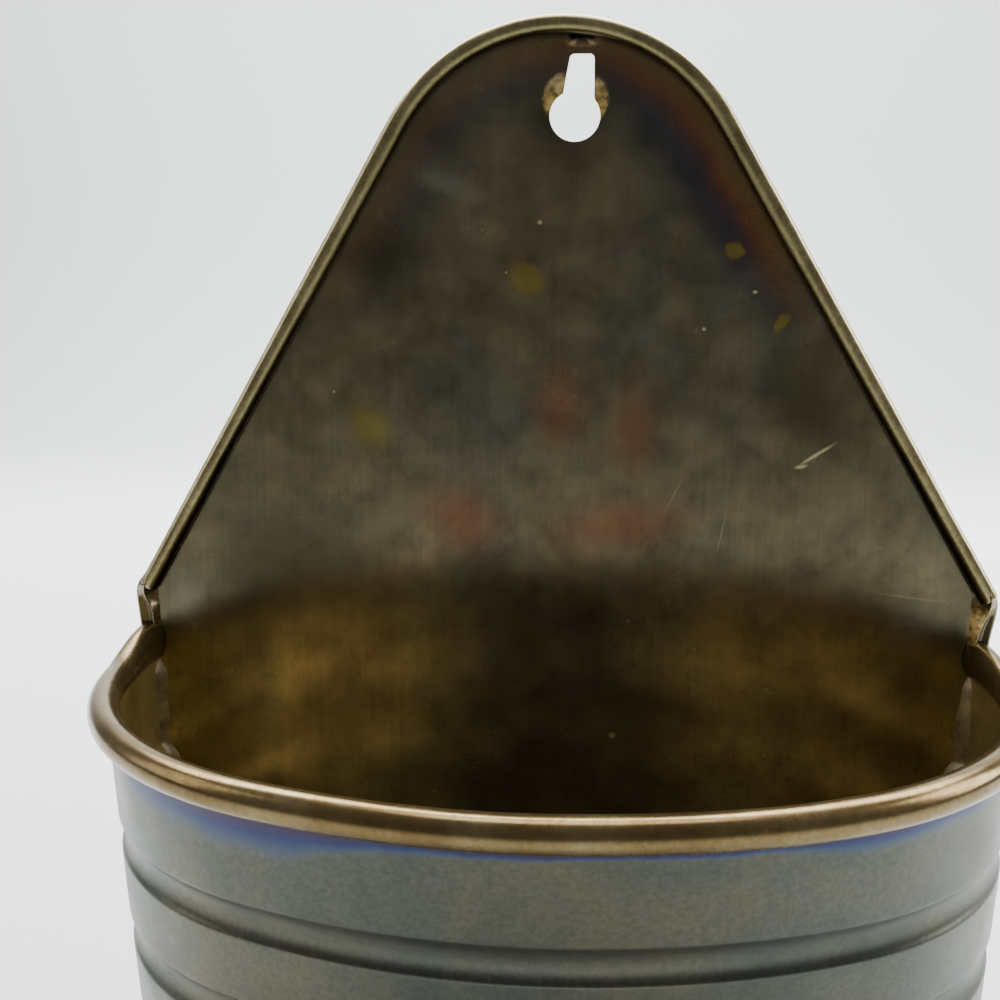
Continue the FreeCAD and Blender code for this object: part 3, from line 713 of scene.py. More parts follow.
@dataclass
class BackPlate:
    """The arched plate with its rolled edge, its hems, its shoulders and its dished keyhole."""

    line: ArchLine = field(default_factory=ArchLine)
    keyhole: Keyhole = field(default_factory=Keyhole)
    roll_radius: float = 1.6
    curl_end: float = 304.0
    flatness: float = 0.9
    wobble: float = 0.018
    nose: float = 1.0
    nose_steps: int = 8
    fold_radius: float = 0.85
    lip_inset: float = 0.3
    hem_top: float = 97.0
    coarse_step: float = 1.6
    fine_step: float = 0.32
    fine_reach: float = 12.0
    ring_grows: tuple[float, ...] = (0.16, 0.4, 0.75, 1.2, 1.7, 2.3)
    # How far from the sides and from the foot the sheet lies still, and how high the crease by the hems is.
    still_edge: float = 12.0
    still_foot: float = 14.0
    crease: float = 0.16
    buckle: Waves = field(default_factory=lambda: Waves(seed=5, length=58.0, height=0.055))
    ripple: Waves = field(default_factory=lambda: Waves(seed=8, length=17.0, height=0.007))

    def front(self, x: Array, z: Array) -> Array:
        """Return how far the plate's front face stands in front of its back plane."""
        edge = np.minimum(hem_edge(z) - np.abs(x), self.still_edge)
        calm = smooth(0.0, self.still_edge, edge) * smooth(0.0, self.still_foot, z)
        crease = self.crease * smooth(6.2, 4.6, edge) * smooth(112.0, 104.0, z)
        uneven = (self.buckle.at(x, z) + self.ripple.at(x, z)) * calm
        return GAUGE.sheet + uneven + crease - self.keyhole.sunk(x, z)

    def outline(self) -> Array:
        """Return the flat panel's outline, counter-clockwise as seen from the front."""
        arch, _ = self.line.points()
        level = np.linspace(SHOULDER_HEIGHT - 1.0, 0.0, 54)
        left = np.stack([-(hem_edge(level) - self.fold_radius), level], axis=1)
        base = np.stack([np.linspace(left[-1, 0], -left[-1, 0], 62)[1:-1], np.zeros(60)], axis=1)
        right = (left * [-1.0, 1.0])[::-1]
        return np.vstack([arch, left, base, right])

    def panel(self, finish: Material) -> Piece:
        """Build the flat of the plate, as a fine web of triangles round the keyhole."""
        outline, hole = self.outline(), self.keyhole.outline()
        rings = [self.keyhole.outline(grow) for grow in self.ring_grows]
        # The web is fine within a round field at the keyhole, and coarse outside it.
        coarse = dots((-78.0, 78.1), (1.2, 205.0), self.coarse_step)
        fine = dots((-10.0, 15.1), (179.0, 204.0), self.fine_step)
        middle = np.array([self.keyhole.x + 0.4, self.keyhole.z + 3.0])
        coarse = coarse[np.linalg.norm(coarse - middle, axis=1) >= self.fine_reach]
        fine = fine[np.linalg.norm(fine - middle, axis=1) < self.fine_reach]
        free = np.vstack([coarse, fine])
        free = free[(self.line.inset(free[:, 0], free[:, 1]) > 0.5) & (free[:, 1] > 0.6)]
        free = free[np.abs(free[:, 0]) < hem_edge(free[:, 1]) - self.fold_radius - 0.7]
        free = free[~lies_inside(free, self.keyhole.outline(self.ring_grows[-1] + 0.2))]
        joints = [(first + i, first + (i + 1) % len(loop))
                  for first, loop in ((0, outline), (len(outline), hole)) for i in range(len(loop))]
        flat = np.vstack([outline, hole, *rings, free])
        found = delaunay_2d_cdt([Vector(p) for p in flat.tolist()], joints, [], 0, 1e-4)
        web = np.array([tuple(v) for v in found[0]])
        triangles = np.array(found[2])
        middles = web[triangles].mean(axis=1)
        triangles = triangles[lies_inside(middles, outline) & ~lies_inside(middles, hole)]
        used, numbers = np.unique(triangles, return_inverse=True)
        web, triangles = web[used], numbers.reshape(triangles.shape)
        points = np.stack([web[:, 0], self.front(web[:, 0], web[:, 1]), web[:, 1]], axis=1)
        edges = np.sort(triangles[:, [[0, 1], [1, 2], [2, 0]]].reshape(-1, 2), axis=1)
        rim, uses = np.unique(edges, axis=0, return_counts=True)
        count = len(points)
        faces = triangles.tolist() + (triangles[:, ::-1] + count).tolist()
        faces += [(a, b, b + count, a + count) for a, b in rim[uses == 1].tolist()]
        marks = {name: np.tile(mark(web[:, 0], web[:, 1]), 2) for name, mark in (
            ("inset", self.line.inset), ("bare", self.keyhole.bare), ("grime", self.keyhole.grime))}
        return make_piece("plate_panel", np.vstack([points, points - [0.0, GAUGE.sheet, 0.0]]), faces, finish,
                          marks)

    def roll(self, finish: Material) -> Piece:
        """Build the roll round the arch, a curl of sheet closed over its wire."""
        line, outs = self.line.points()
        line, outs, size = self.with_noses(line, outs)
        outer = np.radians(np.linspace(0.0, self.curl_end, 76))
        inner = outer[::-2]
        turn = np.concatenate([outer, inner])
        radius = np.concatenate([np.full(len(outer), self.roll_radius),
                                 np.full(len(inner), self.roll_radius - GAUGE.sheet)])
        run = arc_lengths(line)
        wobble = 1.0 + self.wobble * np.sin(run[None, :] / 5.1 + 1.3 * np.sin(run[None, :] / 13.0)) \
            * (turn[:, None] > 0.6)
        squeezed = [np.sign(part) * np.abs(part) ** self.flatness for part in (np.sin(turn), np.cos(turn))]
        out, back = (radius[:, None] * part[:, None] * wobble * size[None, :] for part in squeezed)
        forward = self.roll_radius * (0.75 + 0.25 * size[None, :]) - back
        x = line[None, :, 0] + outs[None, :, 0] * out
        z = line[None, :, 1] + outs[None, :, 1] * out
        points = np.stack([x, forward, z], axis=-1).reshape(-1, 3)
        return make_piece("edge_roll", points, tube_faces(*x.shape), finish,
                          {"turn": np.repeat(np.degrees(turn), x.shape[1])})

    def with_noses(self, line: Array, outs: Array) -> tuple[Array, Array, Array]:
        """Carry the roll's line on at both ends, where the curl is pinched to a rounded nose.

        Args:
            line: X and Z of the line's points.
            outs: outward direction at each of them.

        Returns:
            The longer line, its outward directions, and the size of the roll at each point.
        """
        reach = np.linspace(0.0, 1.0, self.nose_steps + 1)[1:]
        size = np.sqrt(np.maximum(1.0 - reach**2, 0.0006))
        ends = []
        for place, before in ((line[0], line[1]), (line[-1], line[-2])):
            heading = (place - before) / np.linalg.norm(place - before)
            ends.append(place + heading * (reach * self.nose)[:, None])
        longer = np.vstack([ends[0][::-1], line, ends[1]])
        turned = np.pad(outs, ((self.nose_steps, self.nose_steps), (0, 0)), "edge")
        return longer, turned, np.concatenate([size[::-1], np.ones(len(line)), size])

    def hem(self, side: Side, finish: Material) -> Piece:
        """Build one hem: the plate's edge folded forward and in over the wall's flange."""
        levels = np.linspace(0.0, self.hem_top, 60)
        bend = np.radians(np.linspace(-90.0, 90.0, 14))
        fold, sheet = self.fold_radius, GAUGE.sheet
        rows = []
        for level in levels:
            edge = float(hem_edge(level))
            lip = float(PLAN.edge(level, 0.0, GAUGE.lip_front)) + self.lip_inset
            outer, inner = ([(edge - fold + radius * math.cos(a), fold + radius * math.sin(a)) for a in turn]
                            for radius, turn in ((fold, bend), (fold - sheet, bend[::-1])))
            rows.append(outer + [(lip, 2.0 * fold), (lip, 2.0 * fold - sheet)] + inner)
        points, faces = standing_tube(side, levels, np.array(rows))
        return make_piece(f"{side.name.lower()}_hem", points, faces, finish,
                          {"inset": np.full(len(points), FAR_INSET)})

    def build(self, face: Material, roll: Material) -> None:
        """Build every piece of the plate."""
        panel = self.panel(face)
        self.roll(roll)
        for side in Side:
            self.hem(side, face)
        for shoulder in (RIGHT_SHOULDER, LEFT_SHOULDER):
            shoulder.build(face)
        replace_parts(panel, "back_plate")


# --- The solder in the corners -----------------------------------------------------------------------


@dataclass
class SeamSolder:
    """A run of solder drawn down one inside corner, where the wall meets the plate."""

    side: Side
    size: float = 1.75
    foot: float = 5.9
    top: float = 93.0
    root: float = 0.42

    def build(self, wall: PotWall, finish: Material) -> Piece:
        """Build the run, thicker and thinner where it pooled, behind the wall's grooves."""
        levels = np.linspace(self.foot, self.top, 190)
        size = self.size + sum(
            Waves(seed + self.side.value, length, height, count).at(levels, 0.0 * levels)
            for seed, length, height, count in ((20, 7.0, 0.2, 6), (30, 24.0, 0.22, 4)))
        size *= 0.35 + 0.65 * smooth(self.top, self.top - 3.0, levels)
        hollow = wall.groove(levels)
        share = np.linspace(0.0, 1.0, 12)
        rows = []
        for level, reach, groove in zip(levels, size, hollow):
            offset = -GAUGE.sheet - groove
            corner, far = (float(PLAN.edge(level, offset, GAUGE.sheet + out)) for out in (0.0, reach))
            controls = ((corner - reach, self.root), (corner - 0.30 * reach, GAUGE.sheet + 0.34 * reach),
                        (far + 0.08, GAUGE.sheet + reach))
            bend = [tuple((1 - t) ** 2 * a + 2 * t * (1 - t) * b + t * t * c for a, b, c in zip(*controls))
                    for t in share]
            rows.append(bend + [(corner + 0.12, self.root)])
        points, faces = standing_tube(self.side, levels, np.array(rows))
        name = self.side.name.lower()
        piece = make_piece(f"{name}_solder_run", points, faces, finish)
        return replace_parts(piece, f"{name}_seam_solder")


# --- Finishes ----------------------------------------------------------------------------------------


def start_metal(name: str, roughness: float,
                bright: float = 1.0) -> tuple[Material, Tree, bpy.types.Node, Socket]:
    """Start a metal material.

    Args:
        name: the material's name.
        roughness: its plain roughness.
        bright: how much of it is bare metal, the rest being dull tarnish.

    Returns:
        The material, its tree, its shader, and the socket that gives each place in millimetres.
    """
    material = bpy.data.materials.new(name)
    material.use_nodes = True
    tree = material.node_tree
    shader = tree.nodes["Principled BSDF"]
    shader.inputs["Metallic"].default_value = bright
    shader.inputs["Roughness"].default_value = roughness
    place = add_node(tree, "VectorMath", {"operation": "SCALE", "Scale": 1.0 / MM},
                     {"0": add_node(tree, "TexCoord")})
    return material, tree, shader, place


def feed_shader(tree: Tree, shader: bpy.types.Node, colour: Socket, roughness: Socket, grain: Socket,
                relief: tuple[float, float]) -> None:
    """Feed a metal's shader with its colour, its roughness and its fine relief.

    Args:
        tree: the material's tree.
        shader: the shader.
        colour: the colour at each place.
        roughness: the roughness at each place.
        grain: the height of the relief, from 0 to 1.
        relief: how strongly it shows, and how high it is in millimetres.
    """
    bump = add_node(tree, "Bump", {"Strength": relief[0], "Distance": relief[1] * MM}, {"Height": grain})
    for name, source in (("Base Color", colour), ("Roughness", roughness), ("Normal", bump)):
        tree.links.new(source, shader.inputs[name])


def strongest(tree: Tree, masks: Sequence[Socket]) -> Socket:
    """Return the strongest of several masks at each place."""
    total = masks[0]
    for mask in masks[1:]:
        total = add_node(tree, "Math", {"operation": "MAXIMUM"}, {"0": total, "1": mask})
    return total


@dataclass(frozen=True)
class Clouds:
    """Clouds of a real size in millimetres, and the tones that go with their depth."""

    size: float
    detail: float
    roughness: float
    tones: tuple[tuple[float, str], ...]
    swirl: float = 0.0

    def lay(self, tree: Tree, place: Socket) -> tuple[Socket, Socket]:
        """Return the clouds' depth at each place, and their tone there."""
        depth = add_node(tree, "TexNoise", {"Scale": 1 / self.size, "Detail": self.detail,
                                            "Roughness": self.roughness, "Distortion": self.swirl},
                         {"Vector": place})
        return depth, add_node(tree, "ValToRGB", {"stops": self.tones}, {"Fac": depth})

    def under(self, tree: Tree, place: Socket, grain: "Clouds",
              share: float) -> tuple[Socket, Socket, Socket]:
        """Lay finer clouds over these, which darken them.

        Args:
            tree: the material's tree.
            place: socket that gives each place in millimetres.
            grain: the finer clouds.
            share: how far they darken these.

        Returns:
            The colour, and the depth of these clouds and of the finer ones.
        """
        depth, tone = self.lay(tree, place)
        fine_depth, shade = grain.lay(tree, place)
        colour = add_node(tree, "Mix", {**MULTIPLY, SHARE: share}, {UNDER: tone, OVER: shade})
        return colour, depth, fine_depth


@dataclass(frozen=True)
class Stain:
    """One kind of stain, spot or scratch on the plate.

    Each mark is a row of numbers: X and Z of its middle, half its length and half its width, its lean in
    degrees, and the softness of its edge.
    """

    tone: str
    strength: float
    wander: float
    marks: tuple[tuple[float, ...], ...]

    def mask(self, tree: Tree, place: Socket, mark: tuple[float, ...]) -> Socket:
        """Return a mask that is 1 in the middle of a mark and 0 outside it."""
        x, z, length, width, lean, softness = mark
        laid = add_node(tree, "Mapping", {
            "vector_type": "TEXTURE", "Location": (x, 0.0, z), "Rotation": (0.0, -math.radians(lean), 0.0),
            "Scale": (length, ENDLESS, width)}, {"Vector": place})
        away = add_node(tree, "VectorMath", {"operation": "LENGTH"}, {"0": laid}).node.outputs["Value"]
        return add_node(tree, "MapRange", {**EASED, "From Min": 1.0, "From Max": 1.0 - softness},
                        {"Value": away})

    def lay(self, tree: Tree, place: Socket, under: Socket) -> Socket:
        """Return a colour with the marks laid over it, their edges bent by a noise."""
        noise = add_node(tree, "TexNoise", {"Scale": 1 / max(1.6 * self.wander, 1.0), "Detail": 4.0,
                                            "Roughness": 0.65}, {"Vector": place}).node.outputs["Color"]
        moved = add_node(tree, "VectorMath", {"operation": "MULTIPLY_ADD", "1": (self.wander,) * 3,
                                              "2": (-0.5 * self.wander,) * 3}, {"0": noise})
        bent = add_node(tree, "VectorMath", {"operation": "ADD"}, {"0": place, "1": moved})
        total = strongest(tree, [self.mask(tree, bent, mark) for mark in self.marks])
        amount = add_node(tree, "Math", {"operation": "MULTIPLY", "1": self.strength}, {"0": total})
        return add_node(tree, "Mix", {**BLEND, OVER: linear(self.tone)}, {SHARE: amount, UNDER: under})


SMOKE = Stain("#433e2c", 0.7, 3.0, (
    (1.0, 188.0, 13.0, 12.0, 0.0, 1.0), (-30.0, 166.0, 10.0, 12.0, 0.0, 1.0),
    (-50.0, 112.0, 24.0, 20.0, 0.0, 1.0), (44.0, 140.0, 12.0, 18.0, 30.0, 1.0)))
COPPER = Stain("#925f44", 0.62, 3.0, (
    (-16.5, 119.6, 12.0, 8.5, -35.0, 1.0), (11.8, 119.2, 18.0, 7.0, 8.0, 1.0),
    (13.5, 136.5, 6.5, 12.0, 0.0, 1.0), (0.4, 140.0, 6.5, 12.0, 0.0, 1.0)))
OLIVE = Stain("#9c8a3c", 0.7, 3.0, (
    (-5.6, 162.3, 3.2, 4.2, 60.0, 0.5), (29.9, 167.0, 2.1, 1.6, 30.0, 0.4),
    (38.5, 154.9, 2.6, 1.2, 60.0, 0.5), (-33.4, 136.6, 5.0, 6.5, 40.0, 0.9)))
PALE = Stain("#9f9b86", 0.42, 3.0, (
    (-18.0, 177.6, 8.6, 2.9, -22.0, 0.8), (-68.0, 103.0, 4.5, 8.0, 0.0, 1.0),
    (64.0, 101.5, 8.0, 7.0, 0.0, 1.0)))
BARE_SPOTS = Stain("#d8cfa0", 0.95, 0.25, (
    (45.3, 132.1, 4.7, 0.42, 33.0, 0.7), (42.6, 129.9, 1.5, 0.5, 10.0, 0.8),
    (-3.4, 171.8, 0.5, 0.5, 0.0, 0.5), (10.5, 79.9, 0.8, 0.7, 0.0, 0.5),
    (25.1, 153.7, 0.42, 0.42, 0.0, 0.5), (33.6, 160.0, 0.5, 0.4, 0.0, 0.5)))
SCRATCHES = Stain("#b0a684", 0.5, 0.25, (
    (20.6, 124.6, 5.2, 0.2, 64.0, 0.9), (29.2, 118.0, 6.0, 0.2, 80.0, 0.9),
    (62.0, 106.8, 10.0, 0.22, -7.0, 1.0)))


@dataclass(frozen=True)
class PlateFinish:
    """Brass sheet left with a bronze patina.

    Rolled brass that browned in the air: still glossy enough to mirror the rim and the ribs of the pot,
    cloudy with olive and brown tarnish, with heat colours left inside the arch by the torch.
    """

    name: str = "brass sheet, bronze patina"
    stains: tuple[Stain, ...] = (SMOKE, COPPER, OLIVE, PALE, BARE_SPOTS, SCRATCHES)

    def build(self) -> Material:
        """Build the material."""
        material, tree, shader, place = start_metal(self.name, 0.24, 0.82)
        colour = self.heat_colours(tree, place, self.patina(tree, place))
        for stain in self.stains:
            colour = stain.lay(tree, place, colour)
        streaks = add_node(tree, "TexNoise", {"Scale": 1 / 1.3, "Detail": 3.0}, {"Vector": place})
        # Bright bare brass on the dish's sides and the shoulders' facets, part rubbed brass and part painted
        # highlight; and a black painted shade in the channel's end under the roll.
        for mark, dark, light in (("bare", "#8d7440", "#f2d284"), ("grime", "#0c0c0a", "#0c0c0a")):
            where = add_node(tree, "Attribute", {"attribute_name": mark})
            tone = add_node(tree, "ValToRGB", {"stops": [(0.38, dark), (0.6, light)]}, {"Fac": streaks})
            colour = add_node(tree, "Mix", BLEND, {SHARE: where, UNDER: colour, OVER: tone})
        colour, dust = self.dust(tree, place, colour)
        grain = add_node(tree, "TexNoise", {"Scale": 1 / 0.6, "Detail": 2.0}, {"Vector": place})
        feed_shader(tree, shader, colour, self.roughness(tree, place, dust), grain, (0.05, 0.02))
        return material

    def patina(self, tree: Tree, place: Socket) -> Socket:
        """Lay clouds of brown and olive tarnish, 35 mm and 7 mm across, and the lines of the rolling mill."""
        clouds = Clouds(35.0, 4.0, 0.6, ((0.3, "#8a7b62"), (0.46, "#938768"), (0.56, "#8a8268"),
                                         (0.72, "#787666")), 0.6)
        mottle = Clouds(7.0, 6.0, 0.65, ((0.3, "#a9a9a9"), (0.7, "#ffffff")))
        mixed, _, _ = clouds.under(tree, place, mottle, 0.8)
        # The mill's lines are really 0.05 mm apart, and are drawn 0.5 mm apart so that they show.
        drawn = add_node(tree, "Mapping", {"Scale": (1 / 0.5, 0.1, 1 / 26.0)}, {"Vector": place})
        _, shade = Clouds(1.0, 3.0, 0.6, ((0.3, "#c4c0b8"), (0.7, "#ffffff"))).lay(tree, drawn)
        return add_node(tree, "Mix", {**MULTIPLY, SHARE: 0.3}, {UNDER: mixed, OVER: shade})

    def heat_colours(self, tree: Tree, place: Socket, under: Socket) -> Socket:
        """Lay the bands of orange, purple and blue-black that follow the roll inside the arch."""
        inset = add_node(tree, "Attribute", {"attribute_name": "inset"})
        noise = add_node(tree, "TexNoise", {"Scale": 1 / 12.0, "Detail": 3.0}, {"Vector": place})
        shift = add_node(tree, "Math", {"operation": "MULTIPLY_ADD", "1": 7.0, "2": -3.5}, {"0": noise})
        depth = add_node(tree, "Math", {"operation": "ADD"}, {"0": inset, "1": shift})
        share = add_node(tree, "MapRange", {"From Max": FAR_INSET}, {"Value": depth})
        bands = add_node(tree, "ValToRGB", {"stops": [
            (0.0, "#6d5a34"), (0.13, "#805f36"), (0.23, "#80482c"), (0.33, "#57303a"), (0.43, "#34304a"),
            (0.56, "#2b3140"), (0.8, "#5b5a4c")]}, {"Fac": share})
        strength = add_node(tree, "MapRange", {**EASED, "From Min": 17.0, "From Max": 9.0}, {"Value": depth})
        where = add_node(tree, "SeparateXYZ", {}, {"Vector": place}).node
        height = add_node(tree, "MapRange", {**EASED, "From Min": 148.0, "From Max": 172.0},
                          {"Value": where.outputs["Z"]})
        side = add_node(tree, "MapRange", {"From Min": -14.0, "From Max": 22.0, "To Min": 0.4},
                        {"Value": where.outputs["X"]})
        for fade in (height, side):
            strength = add_node(tree, "Math", {"operation": "MULTIPLY"}, {"0": strength, "1": fade})
        strength = add_node(tree, "Math", {"operation": "MULTIPLY", "1": 0.72}, {"0": strength})
        return add_node(tree, "Mix", BLEND, {SHARE: strength, UNDER: under, OVER: bands})

    def dust(self, tree: Tree, place: Socket, under: Socket) -> tuple[Socket, Socket]:
        """Scatter pale specks of dust and spatter, 0.3 to 0.8 mm across."""
        masks = []
        for spacing, radius, chance in ((4.4, 0.075, 0.5), (7.5, 0.055, 0.5)):
            cells = add_node(tree, "TexVoronoi", {"Scale": 1 / spacing}, {"Vector": place}).node
            lot = add_node(tree, "SeparateColor", {}, {"Color": cells.outputs["Color"]})
            limit = add_node(tree, "MapRange", {"From Min": 1.0 - chance, "To Max": radius}, {"Value": lot})
            speck = add_node(tree, "Math", {"operation": "SUBTRACT"},
                             {"0": limit, "1": cells.outputs["Distance"]})
            masks.append(add_node(tree, "MapRange", {**EASED, "From Min": 0.0, "From Max": 0.5 * radius,
                                                     "To Max": 0.55}, {"Value": speck}))
        total = strongest(tree, masks)
        return add_node(tree, "Mix", {**BLEND, OVER: linear("#b5b19c")}, {SHARE: total, UNDER: under}), total

    def roughness(self, tree: Tree, place: Socket, dust: Socket) -> Socket:
        """Return the sheet's roughness: smeared by hands, and duller where it is dusty, and on the bare brass
        that is painted bright as a highlight.
        """
        smears = add_node(tree, "TexNoise", {"Scale": 1 / 16.0, "Detail": 5.0, "Roughness": 0.62,
                                             "Distortion": 1.2}, {"Vector": place})
        total = add_node(tree, "MapRange", {"From Min": 0.3, "From Max": 0.72, "To Min": 0.17,
                                            "To Max": 0.31}, {"Value": smears})
        bare = add_node(tree, "Attribute", {"attribute_name": "bare"})
        for mask, share in ((dust, 0.4), (bare, 0.25)):
            total = add_node(tree, "Math", {"operation": "MULTIPLY_ADD", "1": share}, {"0": mask, "2": total})
        return total


@dataclass(frozen=True)
class EdgeRollFinish:
    """Brass sheet rolled over a wire and rubbed by hands: olive brass, with a painted highlight on its outer
    side and painted shade in the crease against the plate.
    """

    name: str = "brass sheet, rolled edge"

    def build(self) -> Material:
        """Build the material."""
        material, tree, shader, place = start_metal(self.name, 0.3)
        film = Clouds(9.0, 5.0, 0.6, ((0.3, "#aca282"), (0.5, "#c8bf9c"), (0.62, "#d3caa8"),
                                      (0.78, "#ece2b8")))
        fine = Clouds(0.7, 3.0, 0.7, ((0.32, "#b9b5a8"), (0.68, "#ffffff")))
        colour, clouds, grain = film.under(tree, place, fine, 0.7)
        turn = add_node(tree, "Attribute", {"attribute_name": "turn"})
        share = add_node(tree, "MapRange", {"From Max": 360.0}, {"Value": turn})
        # Painted highlight and shade round the roll's section: white on its outer side, going to near black
        # on its inner side where it meets the plate.
        painted_light_and_shade = add_node(tree, "ValToRGB", {"stops": [
            (0.1, "#b0aa98"), (0.28, "#ffffff"), (0.42, "#f0ead8"), (0.55, "#d0cab6"), (0.62, "#807a68"),
            (0.7, "#26241c")]}, {"Fac": share})
        lit_and_shaded = add_node(tree, "Mix", {**MULTIPLY, SHARE: 1.0}, {UNDER: colour, OVER: painted_light_and_shade})
        rough = add_node(tree, "MapRange", {"From Min": 0.3, "From Max": 0.7, "To Min": 0.26, "To Max": 0.38},
                         {"Value": clouds})
        feed_shader(tree, shader, lit_and_shaded, rough, grain, (0.12, 0.03))
        return material


@dataclass(frozen=True)
class WallFinish:
    """Brass sheet tarnished to gunmetal outside and left golden-brown inside.

    Spun and ribbed brass, satin: green-grey film outside with blue and purple heat colours under the rim,
    bare worn bronze on the rolled rim, and yellow brass under thin tarnish inside.
    """

    name: str = "brass sheet, gunmetal tarnish"
    film_top: float = 91.8
    # How wide the blue band is: wide on the left, a thin line round the front, and wider again on the right.
    band: tuple[tuple[float, float], ...] = (
        (0.10, 0.35), (0.17, 0.85), (0.24, 0.95), (0.30, 0.6), (0.37, 0.28), (0.5, 0.12), (0.7, 0.16),
        (0.8, 0.45), (0.88, 0.34))
    band_ends: tuple[float, float] = (0.2, 0.25)

    def build(self) -> Material:
        """Build the material."""
        material, tree, shader, place = start_metal(self.name, 0.36, 0.85)
        outer, inner, rim = self.outer(tree, place), self.inner(tree, place), self.rim(tree, place)
        side, rolled = (add_node(tree, "Attribute", {"attribute_name": mark})
                        for mark in ("outside", "rolled"))
        wall = add_node(tree, "Mix", BLEND, {SHARE: side, UNDER: inner, OVER: outer})
        colour = add_node(tree, "Mix", BLEND, {SHARE: rolled, UNDER: wall, OVER: rim})
        smears = add_node(tree, "TexNoise", {"Scale": 1 / 14.0, "Detail": 6.0, "Roughness": 0.65},
                          {"Vector": place})
        rough = add_node(tree, "MapRange", {"From Min": 0.3, "From Max": 0.7, "To Min": 0.3, "To Max": 0.44},
                         {"Value": smears})
        rubbed = add_node(tree, "Math", {"operation": "MULTIPLY_ADD", "1": -0.13}, {"0": rolled, "2": rough})
        grain = add_node(tree, "TexNoise", {"Scale": 1 / 0.45, "Detail": 3.0, "Roughness": 0.7},
                         {"Vector": place})
        feed_shader(tree, shader, colour, rubbed, grain, (0.14, 0.03))
        return material

    def outer(self, tree: Tree, place: Socket) -> Socket:
        """Return the outside's colour: gunmetal film, with heat colours under the rim."""
        film = Clouds(24.0, 5.0, 0.6, ((0.28, "#4e524d"), (0.45, "#595b52"), (0.58, "#625f52"),
                                       (0.75, "#6a6352")), 0.5)
        fine = Clouds(0.9, 5.0, 0.75, ((0.3, "#bcc0bc"), (0.7, "#ffffff")))
        base, _, _ = film.under(tree, place, fine, 0.75)
        where = add_node(tree, "SeparateXYZ", {}, {"Vector": place}).node.outputs["Z"]
        along = add_node(tree, "Attribute", {"attribute_name": "along"})
        noise = add_node(tree, "TexNoise", {"Scale": 1 / 8.0, "Detail": 4.0, "Roughness": 0.6},
                         {"Vector": place})
        # How far below the rim each place lies, in millimetres, with a wavering edge.
        low = add_node(tree, "Math", {"operation": "SUBTRACT", "0": self.film_top}, {"1": where})
        drop = add_node(tree, "Math", {"operation": "MULTIPLY_ADD", "1": -1.5}, {"0": noise, "2": low})
        reach = add_node(tree, "FloatCurve", {}, {"Value": add_node(
            tree, "MapRange", {"From Min": -1.0, "From Max": 1.0}, {"Value": along})})
        curve = reach.node.mapping.curves[0]
        for x, y in self.band:
            curve.points.new(x, y)
        curve.points[0].location = (0.0, self.band_ends[0])
        curve.points[-1].location = (1.0, self.band_ends[1])
        reach.node.mapping.update()
        deep = add_node(tree, "Math", {"operation": "MULTIPLY_ADD", "1": 7.0, "2": 0.5}, {"0": reach})
        share = add_node(tree, "Math", {"operation": "DIVIDE"}, {"0": drop, "1": deep})
        tint = add_node(tree, "ValToRGB", {"stops": [
            (0.0, "#423040"), (0.3, "#30365c"), (0.62, "#404e6a"), (1.0, "#5a6464")]}, {"Fac": share})
        fade = add_node(tree, "MapRange", {**EASED, "From Min": 1.0, "From Max": 0.3, "To Max": 0.92},
                        {"Value": share})
        return add_node(tree, "Mix", BLEND, {SHARE: fade, UNDER: base, OVER: tint})

    def inner(self, tree: Tree, place: Socket) -> Socket:
        """Return the inside's colour: yellow brass, darker round the front of the bow."""
        clouds = Clouds(15.0, 5.0, 0.6, ((0.3, "#ab9864"), (0.5, "#dac586"), (0.7, "#f6e19e")))
        _, brass = clouds.lay(tree, place)
        along = add_node(tree, "Attribute", {"attribute_name": "along"})
        aside = add_node(tree, "Math", {"operation": "ABSOLUTE"}, {"0": along})
        fade = add_node(tree, "MapRange", {**EASED, "From Min": 0.2, "From Max": 0.5}, {"Value": aside})
        return add_node(tree, "Mix", {**BLEND, UNDER: linear("#4c4a40")}, {SHARE: fade, OVER: brass})

    def rim(self, tree: Tree, place: Socket) -> Socket:
        """Return the rolled rim's colour: rubbed bronze with browner patches."""
        bronze = Clouds(13.0, 5.0, 0.62, ((0.3, "#6c5836"), (0.5, "#836f48"), (0.7, "#978560")))
        grain = Clouds(0.8, 5.0, 0.75, ((0.3, "#b8aea0"), (0.7, "#ffffff")))
        return bronze.under(tree, place, grain, 0.7)[0]


@dataclass(frozen=True)
class PlainFinish:
    """A metal of one colour, clouded over: the tray's dull brass, the drawn wire and the stained solder."""

    name: str
    dark: str
    light: str
    roughness: float
    cloud: float
    spread: float = 0.07

    def build(self) -> Material:
        """Build the material."""
        material, tree, shader, place = start_metal(self.name, self.roughness)
        clouds, tone = Clouds(self.cloud, 6.0, 0.65, ((0.3, self.dark), (0.7, self.light))).lay(tree, place)
        rough = add_node(tree, "MapRange", {
            "From Min": 0.3, "From Max": 0.7, "To Min": self.roughness - self.spread,
            "To Max": self.roughness + self.spread}, {"Value": clouds})
        feed_shader(tree, shader, tone, rough, clouds, (0.2, 0.05))
        return material


# --- The studio --------------------------------------------------------------------------------------


